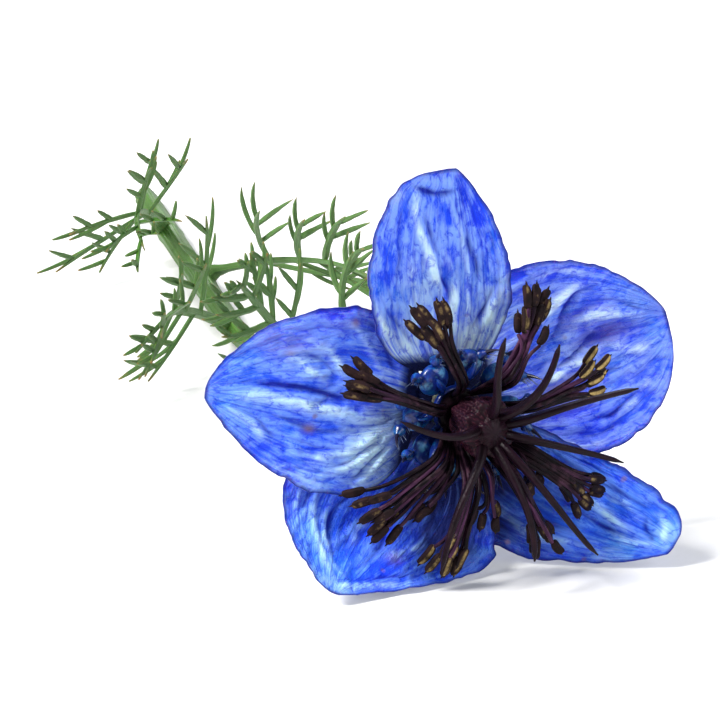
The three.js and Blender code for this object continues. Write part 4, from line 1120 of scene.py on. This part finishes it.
def ring_band(low, high, radius):
    """A flat ring round the bloom's axis, with its edges taken off."""
    sides, bevel = 64, 0.15
    profile = np.array([
        (COLLAR_BORE, low), (radius - bevel, low), (radius, low + bevel),
        (radius, high - bevel), (radius - bevel, high), (COLLAR_BORE, high),
    ])
    turned, count = circle(sides) * profile[:, :1, None], len(profile)
    heights = np.broadcast_to(profile[:, 1:, None], (count, sides, 1))
    corners = np.concatenate([turned, heights], -1)
    at = np.arange(count * sides).reshape(count, sides)
    beside, above = np.roll(at, -1, 1), np.roll(at, -1, 0)
    faces = np.stack([at, beside, np.roll(beside, -1, 0), above], -1).reshape(-1, 4).tolist()
    return corners.reshape(-1, 3), faces, {"along": 0.0, "share": 0.0, "round": 0.0}


def build_nectary(direction, reach, seed):
    outwards, sideways = around(direction, 1, 0), around(direction + 90, 1, 0)
    collar_height = (NECTARY_COLLAR[0] + NECTARY_COLLAR[1]) / 2
    tilt = radians(POUCH_TILT)
    long, broad, thick = POUCH_AXES
    axes = [
        long * (outwards * cos(tilt) + UP * sin(tilt)),
        broad * sideways,
        thick * (UP * cos(tilt) - outwards * sin(tilt)),
    ]
    pouch = around(direction, POUCH_AT, POUCH_HEIGHT)
    stalk = [
        around(direction, NECTARY_COLLAR[2] - 0.8, collar_height),
        around(direction, POUCH_AT - 1.4, collar_height),
        pouch,
    ]
    upper_lip = [
        pouch - outwards,
        pouch - outwards + 1.6 * UP,
        pouch + 0.9 * outwards + 2.2 * UP,
    ]

    def furrowed(a, b):
        return 1 - 0.12 * np.exp(-((np.sin(b) - 1) ** 2) / 0.05) + 0.03 * np.cos(6 * b)

    def hooded(s):
        return 0.95 * (1 - s) ** 0.6 * (1 + 0.4 * s) + 0.06

    def swollen(s):
        knob = 0.42 * np.exp(-(((s - 0.72) / 0.13) ** 2))
        return 0.85 - 0.45 * eased(0, 0.5, s) + knob - 0.2 * eased(0.85, 1, s)

    parts = [
        marked(rod(stalk, 14, 12, lambda s: 0.42 + 0.1 * s), part=STALK),
        marked(ball(pouch, axes, 32, 20, furrowed), part=POUCH),
        marked(rod(upper_lip, 16, 10, hooded, flat=0.5), part=UPPER_LIP),
    ]
    for side in (-1, 1):
        lobe = curve_points([
            around(direction + 5 * side, POUCH_AT + 0.6, POUCH_HEIGHT),
            around(direction + 9 * side, reach - 1.4, POUCH_HEIGHT - 0.2),
            around(direction + 13 * side, reach, LOBE_HEIGHT),
        ], 26)
        parts.append(marked(rod(lobe, 26, 12, swollen), part=LOWER_LIP))
        # the drawn-out dark tip, which curls up
        tip, away = lobe[-1], unit(lobe[-1] - lobe[-4])
        end = tip + 1.1 * away + 0.9 * UP + 0.4 * side * sideways
        drawn_out = [tip - 0.3 * away, tip + 0.8 * away, end]
        parts.append(marked(rod(drawn_out, 12, 8, lambda s: 0.24 * (1 - s) + 0.05), part=LIP_TIP))
        for n in range(NECTARY_HAIRS):
            dice = vary(seed + 17 * side + n + np.array([0.1, 0.2, 0.3]))
            lean = sideways * side * (0.3 + dice[1]) + outwards * (dice[1] - 0.3)
            lean = unit(lean + UP * (0.7 + 0.7 * dice[2]))
            root = lobe[int(6 + 18 * dice[0])] + 0.3 * lean
            hair = [root, root + 0.6 * lean + 0.15 * sideways, root + lean * (1.1 + 0.8 * dice[0])]
            parts.append(marked(rod(hair, 6, 5, lambda s: 0.05 * (1 - s) + 0.02), part=HAIR))
    return parts


def bloomed(parts):
    """Parts of the bloom as one, set in its real place."""
    corners, faces, marks = joined(parts)
    return in_bloom(corners), faces, marks


def nectary_finish():
    finish = new_finish(
        "glossy_nectary_blue", Specular_IOR_Level=0.35, Coat_Weight=0.3, Coat_Roughness=0.12
    )
    kind, share, along, turned = marks_of(finish[1], "part", "share", "along", "round")
    mottle, bumps = cells_in(finish[1], 700.0, 3600.0)
    streaks = grain(turned, along, 6.0, 0.8, kind)
    # a paler band across the pouch, and pale hairs with darker feet
    band = spread(calc("ABSOLUTE", calc("SUBTRACT", share, 0.62)), 0.1, 0.03)
    band = times(calc("COMPARE", kind, float(POUCH)), times(band, spread(streaks, 0.35, 0.6)))
    hairy = times(calc("COMPARE", kind, float(HAIR)), spread(share, 0.2, 0.7))
    colour = coated(
        blend(mottle, (0.001, 0.005, 0.05), (0.003, 0.028, 0.26)),
        (times(spread(streaks, 0.5, 0.85), 0.5), (0.005, 0.13, 0.33)),
        (times(band, 0.5), (0.16, 0.5, 0.8)),
        (spread(kind, LIP_TIP - 0.6, LIP_TIP), (0.012, 0.008, 0.022)),
        (times(hairy, 0.5), (0.2, 0.27, 0.45)),
    )
    return dressed(finish, colour, spread(mottle, 0, 1, 0.22, 0.42), bumps, 0.35, 0.0002)


nectary_parts = [marked(ring_band(*NECTARY_COLLAR), part=STALK)]
for k, reach in enumerate(LOBE_REACHES):
    nectary_parts += build_nectary(NECTARY_FIRST + 360 / len(LOBE_REACHES) * k, reach, 40 * k + 3)
nectaries = skin("lipped_nectaries", *bloomed(nectary_parts), nectary_finish())
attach(nectaries, "root")
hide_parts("nectaries")

# ---- Stamens ----
# Eight bundles of dark maroon filaments round the ovary, which climb beside it, arch outwards and
# part, with four smaller fans between and below them that haven't opened. Each filament ends in a
# long two-lobed anther, nearly black, which has split along its sides and shows ochre pollen.

BUNDLES = [
    # direction, reach, height of the anthers, how much pollen shows, degrees between the outer two,
    # width of the band before they part, how far they have parted halfway, filaments
    (13, 19, 7, 0.9, 14, 1.2, 0.6, 5),
    (61, 18.5, 7.4, 0.15, 9, 2.0, 0.4, 5),
    (114, 18, 7, 0.1, 13, 1.1, 0.35, 5),
    (155, 19.5, 6.4, 0.05, 8, 1.0, 0.35, 5),
    (214, 19.5, 7, 0.1, 22, 2.8, 0.85, 7),
    (251.5, 19.7, 9, 0.35, 15, 2.3, 0.5, 6),
    (296, 20, 9.2, 0.05, 8, 1.5, 0.5, 6),
    (323, 20.4, 8.4, 0.15, 13, 2.0, 0.6, 7),
]
BUNDLE_EXTRAS = -0.3, 0.02, 0.32  # where shorter stamens lie over the others
YOUNG_FANS = [(60, 15.2, 8.4), (232, 14.5, 7), (271, 14, 8.2), (312, 13, 8.2)]
YOUNG_SPREADS = -0.45, -0.15, 0.15, 0.45
YOUNG_OPENING, YOUNG_WIDTH, YOUNG_SIZE = 14, 1.8, 0.85
STAMEN_COLLAR = (1.5, 2.6, 2.9)
ANTHER_LENGTH, ANTHER_RADIUS, ANTHER_WAIST = 3.1, 0.66, 0.34
FILAMENT_ROOT, FILAMENT_TIP, FILAMENT_FLATNESS = 0.34, 0.25, 0.8  # radii, height over width


def build_anther(elbow, tip, length, gold, dice):
    """An anther of two lobes side by side, pinched above and below, with its small beak."""
    forward = unit(tip - elbow)
    across = unit(np.cross(UP, forward))
    above = np.cross(forward, across)
    centre = elbow + 0.6 * (tip - elbow)
    half = length / 2

    def pinched(a, b):
        a = np.clip(a, 0.12, pi - 0.12)
        blunt = (0.9 + 0.1 * np.cos(2 * a)) * np.sin(a) ** -0.25
        return (1 - ANTHER_WAIST * np.abs(np.sin(b)) ** 5) * blunt

    axes = half * forward, 1.08 * ANTHER_RADIUS * across, ANTHER_RADIUS * above
    corners, faces, marks = ball(centre, axes, 22, 18, pinched)
    swing = ((corners - centre) @ forward / half)[:, None] ** 2
    corners = corners - 0.35 * swing * (dice[0] - 0.2) * UP + 0.5 * swing * (dice[1] - 0.5) * across
    end = centre + half * forward
    beak = [end - 0.3 * forward, end + 0.1 * forward, end + 0.45 * forward - 0.1 * UP]
    beak = rod(beak, 6, 7, lambda s: 0.2 * (1 - s) + 0.03)
    return [marked((corners, faces, marks), gold=gold), marked(beak, gold=0.0)]


def build_stamens():
    def thinning(s):
        return FILAMENT_ROOT - (FILAMENT_ROOT - FILAMENT_TIP) * s

    filaments, anthers = [marked(ring_band(*STAMEN_COLLAR), tone=0.0)], []
    collar_height = (STAMEN_COLLAR[0] + STAMEN_COLLAR[1]) / 2
    young = [(*fan, 0.0, YOUNG_OPENING, YOUNG_WIDTH, 0, 0) for fan in YOUNG_FANS]
    for fan, bundle in enumerate(BUNDLES + young):
        direction, reach, height, gold, opening, width, parting, count = bundle
        trunk = curve_points([
            around(direction, STAMEN_COLLAR[2] - 0.5, collar_height),
            around(direction, 5.4, 7.2),
            around(direction, 5.6, height + 2.6),
            around(direction, 0.62 * reach, height + 0.9),
        ], 30)
        sideways = around(direction + 90, 1, 0)
        spreads = [(n / (count - 1) - 0.5, 1.0) for n in range(count)]
        spreads += [(place, 0.9) for place in BUNDLE_EXTRAS]
        if not count:
            spreads = [(place, 1.0) for place in YOUNG_SPREADS]
        for order, (place, shrink) in enumerate(spreads):
            dice = vary(12 * fan + order + np.array([0.1, 0.45, 0.8]))
            shorter = shrink < 1
            away = direction + opening * place
            end = shrink * reach * (1 - 0.09 * dice[0]) - 1.2 * abs(place)
            end_height = height - 1.3 + 2.4 * dice[1] + 0.9 * shorter
            elbow = around(away, end - ANTHER_LENGTH, end_height + 0.7)
            tip = around(away + 4 * place + 4 * (dice[2] - 0.5), end, end_height - 0.5)
            parted, bent = (opening * place * share for share in (parting, 0.4 + 0.6 * parting))
            start = around(direction + parted, 0.56 * reach, height + 1)
            bend = around(direction + bent, 0.72 * reach, height + 1.2 + dice[1])
            arm = curve_points([start, bend, elbow + 0.2 * (tip - elbow)], 16)
            shift = width * place * sideways + (0.3 * (-1) ** order + 0.5 * shorter) * UP
            grown = eased(0, 0.45, np.linspace(0, 1, 24))[:, None] * shift
            path = smoothed(np.concatenate([trunk[:24] + grown, arm[3:]]), 10)
            strand = rod(path, len(path), 9, thinning, flat=FILAMENT_FLATNESS)
            filaments.append(marked(strand, tone=dice[2]))
            length = ANTHER_LENGTH * (0.9 + 0.2 * dice[0]) * (1 if count else YOUNG_SIZE)
            anthers += build_anther(elbow, tip, length, gold + 0.25 * (dice[0] - 0.5), dice)
    return filaments, anthers


def filament_finish():
    finish = new_finish("maroon_filament", Specular_IOR_Level=0.09)
    turned, along, tone, share = marks_of(finish[1], "round", "along", "tone", "share")
    mottle, bumps = cells_in(finish[1], 500.0, 4200.0)
    streaks = grain(turned, along, 5.0, 0.35, 2.0)
    dark = blend(spread(streaks, 0.35, 1.0), (0.001, 0.0006, 0.0015), (0.014, 0.004, 0.009))
    light = blend(streaks, (0.016, 0.004, 0.015), (0.125, 0.042, 0.115))
    # some filaments are paler than others, and each is darker towards its root
    pale = times(spread(tone, 0.5, 1.0, 0.0, 0.8), spread(share, 0.3, 0.75, 0.15, 1.0))
    dusted = times(spread(mottle, 0.62, 1.0), 0.3)
    colour = coated(dark, (pale, light), (dusted, (0.12, 0.05, 0.08)))
    roughness, height = spread(mottle, 0, 1, 0.3, 0.5), plus(streaks, bumps)
    return dressed(finish, colour, roughness, height, 0.45, 0.00012)


def anther_finish():
    finish = new_finish("split_anther", Specular_IOR_Level=0.08)
    turned, gold = marks_of(finish[1], "round", "gold")
    slit = calc("ABSOLUTE", calc("SINE", times(turned, 2 * pi)))
    mottle, bumps = cells_in(finish[1], 800.0, 6500.0)
    shown = plus(gold, spread(mottle, 0.0, 1.0, -0.25, 0.25))
    split = times(spread(slit, 0.8, 0.97), spread(shown, 0.1, 0.75))
    pollen = blend(spread(bumps, 0.1, 0.4, 0.4, 1.0), (0.07, 0.04, 0.012), (0.45, 0.32, 0.12))
    colour = blend(mottle, (0.003, 0.0014, 0.0022), (0.022, 0.01, 0.011))
    colour = blend(split, colour, pollen)
    return dressed(finish, colour, spread(mottle, 0, 1, 0.5, 0.75), bumps, 0.6, 0.00012)


filament_parts, anther_parts = build_stamens()
stamens = skin("arched_filaments", *bloomed(filament_parts), filament_finish())
anthers = skin("split_anthers", *bloomed(anther_parts), anther_finish())
for piece in (stamens, anthers):
    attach(piece, "root")
    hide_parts("stamens")

# ---- Ovary and styles ----
# Eight carpels grown together into a warty, ribbed, plum-coloured barrel in the middle of the
# bloom. Each carries a long, thin, nearly straight style, dark and pointed, with a furrow down its
# inner side, and they spread like a star.

OVARY_LOW, OVARY_HIGH, OVARY_FOOT, OVARY_BELLY, CARPELS = 3.2, 11.2, 2.1, 3.7, 8
OVARY_RINGS, OVARY_SIDES, WART_HEIGHT, WARTS_ROUND, WARTS_UP = 120, 240, 0.2, 52, 19
CARPEL_SEAM, STYLE_FLATNESS, STYLE_FURROW = 0.075, 0.85, 0.3
STYLES = [  # direction, reach, height of the tip, sideways bend
    (13, 18, 15, 2), (57, 13, 15.5, -1.5), (92, 13, 15.5, 1.5), (164, 14, 13.5, 2),
    (239, 17.5, 14, -2), (280, 15.5, 16, 1), (306, 19, 17, -1), (340, 17, 14, 1.5),
]
STYLE_ROOT, STYLE_TIP, STYLE_RINGS = 0.88, 0.4, 80


def warts(x, y, seed):
    """Small round bumps from 0 to 1 scattered over a plane, about one to a unit."""
    column, row = np.floor(x), np.floor(y)
    found = np.zeros_like(x)
    for i in (-1, 0, 1):
        for j in (-1, 0, 1):
            number = (column + i) * 1.91 + (row + j) * 37.7 + seed
            aside = x - column - i - 0.2 - 0.6 * vary(number)
            ahead = y - row - j - 0.2 - 0.6 * vary(number + 0.3)
            wart = (0.5 + 0.5 * vary(number + 0.6)) * np.exp(-(aside ** 2 + ahead ** 2) / 0.09)
            found = np.maximum(found, wart)
    return found


def build_ovary():
    s, turn = np.meshgrid(
        np.linspace(0, 1, OVARY_RINGS), 360 * np.arange(OVARY_SIDES) / OVARY_SIDES, indexing="ij"
    )
    swell = np.sin(np.radians(112 * np.minimum(1, s / 0.9)))
    shoulder = 1 - 0.45 * eased(0.84, 1, s)
    rib = 1 - CARPEL_SEAM * (1 - np.cos(np.radians(CARPELS * turn)))
    bumps = warts(turn / 360 * WARTS_ROUND, s * WARTS_UP, 3.0)
    radius = (OVARY_FOOT + (OVARY_BELLY - OVARY_FOOT) * swell) * shoulder * rib
    radius = radius + WART_HEIGHT * bumps * eased(0.02, 0.15, s) - 0.05
    direction = np.radians(turn + STYLES[0][0])
    height = OVARY_LOW + (OVARY_HIGH - OVARY_LOW) * s
    rings = np.stack([radius * np.cos(direction), radius * np.sin(direction), height], -1)
    corners, faces = closed(rings, OVARY_LOW * UP, (OVARY_HIGH + 0.3) * UP)
    return corners, faces, {
        "along": by_ring(height[:, 0], OVARY_SIDES), "share": by_ring(s[:, 0], OVARY_SIDES),
        "round": by_side(turn[0] / 360, OVARY_RINGS), "wart": np.append(bumps, [0, 0]),
    }


def build_style(number):
    direction, reach, height, bend = STYLES[number]
    aside = around(direction + 90, 1, 0)
    path = curve_points([
        around(direction, 1.6, OVARY_HIGH - 2.2),
        around(direction, 2.6, OVARY_HIGH + 2.2),
        around(direction, 0.55 * reach, height) + bend * aside,
        around(direction, reach, height),
    ], STYLE_RINGS)
    s = np.linspace(0, 1, STYLE_RINGS)[:, None]
    path = path + 0.35 * np.sin(5.5 * s + 2 * number) * s ** 1.5 * aside
    path = path + 0.25 * np.sin(4.3 * s + number) * s * UP

    def tapered(s):
        return STYLE_TIP + (STYLE_ROOT - STYLE_TIP) * (1 - s) ** 1.15 - 0.26 * eased(0.93, 1, s)

    make = STYLE_FLATNESS, STYLE_FURROW, sideways_at(radians(direction))
    return marked(rod(path, STYLE_RINGS, 16, tapered, *make), wart=0.0)


def pistil_finish():
    finish = new_finish("plum_pistil", Specular_IOR_Level=0.11)
    turned, along, wart = marks_of(finish[1], "round", "along", "wart")
    mottle, bumps = cells_in(finish[1], 420.0, 3800.0)
    streaks = grain(turned, along, 9.0, 0.3, 4.0)
    colour = coated(
        blend(streaks, (0.002, 0.0008, 0.0018), (0.012, 0.003, 0.008)),
        # painted highlight: the tops of the warts are lighter and redder
        (times(wart, 0.45), (0.095, 0.02, 0.038)),
        (times(spread(mottle, 0.55, 1.0), 0.25), (0.025, 0.009, 0.012)),
    )
    roughness, height = spread(mottle, 0, 1, 0.3, 0.5), plus(streaks, bumps)
    return dressed(finish, colour, roughness, height, 0.5, 0.00015)


pistil_parts = [build_ovary()] + [build_style(number) for number in range(len(STYLES))]
pistil = skin("warty_pistil", *bloomed(pistil_parts), pistil_finish())
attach(pistil, "root")
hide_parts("pistil")
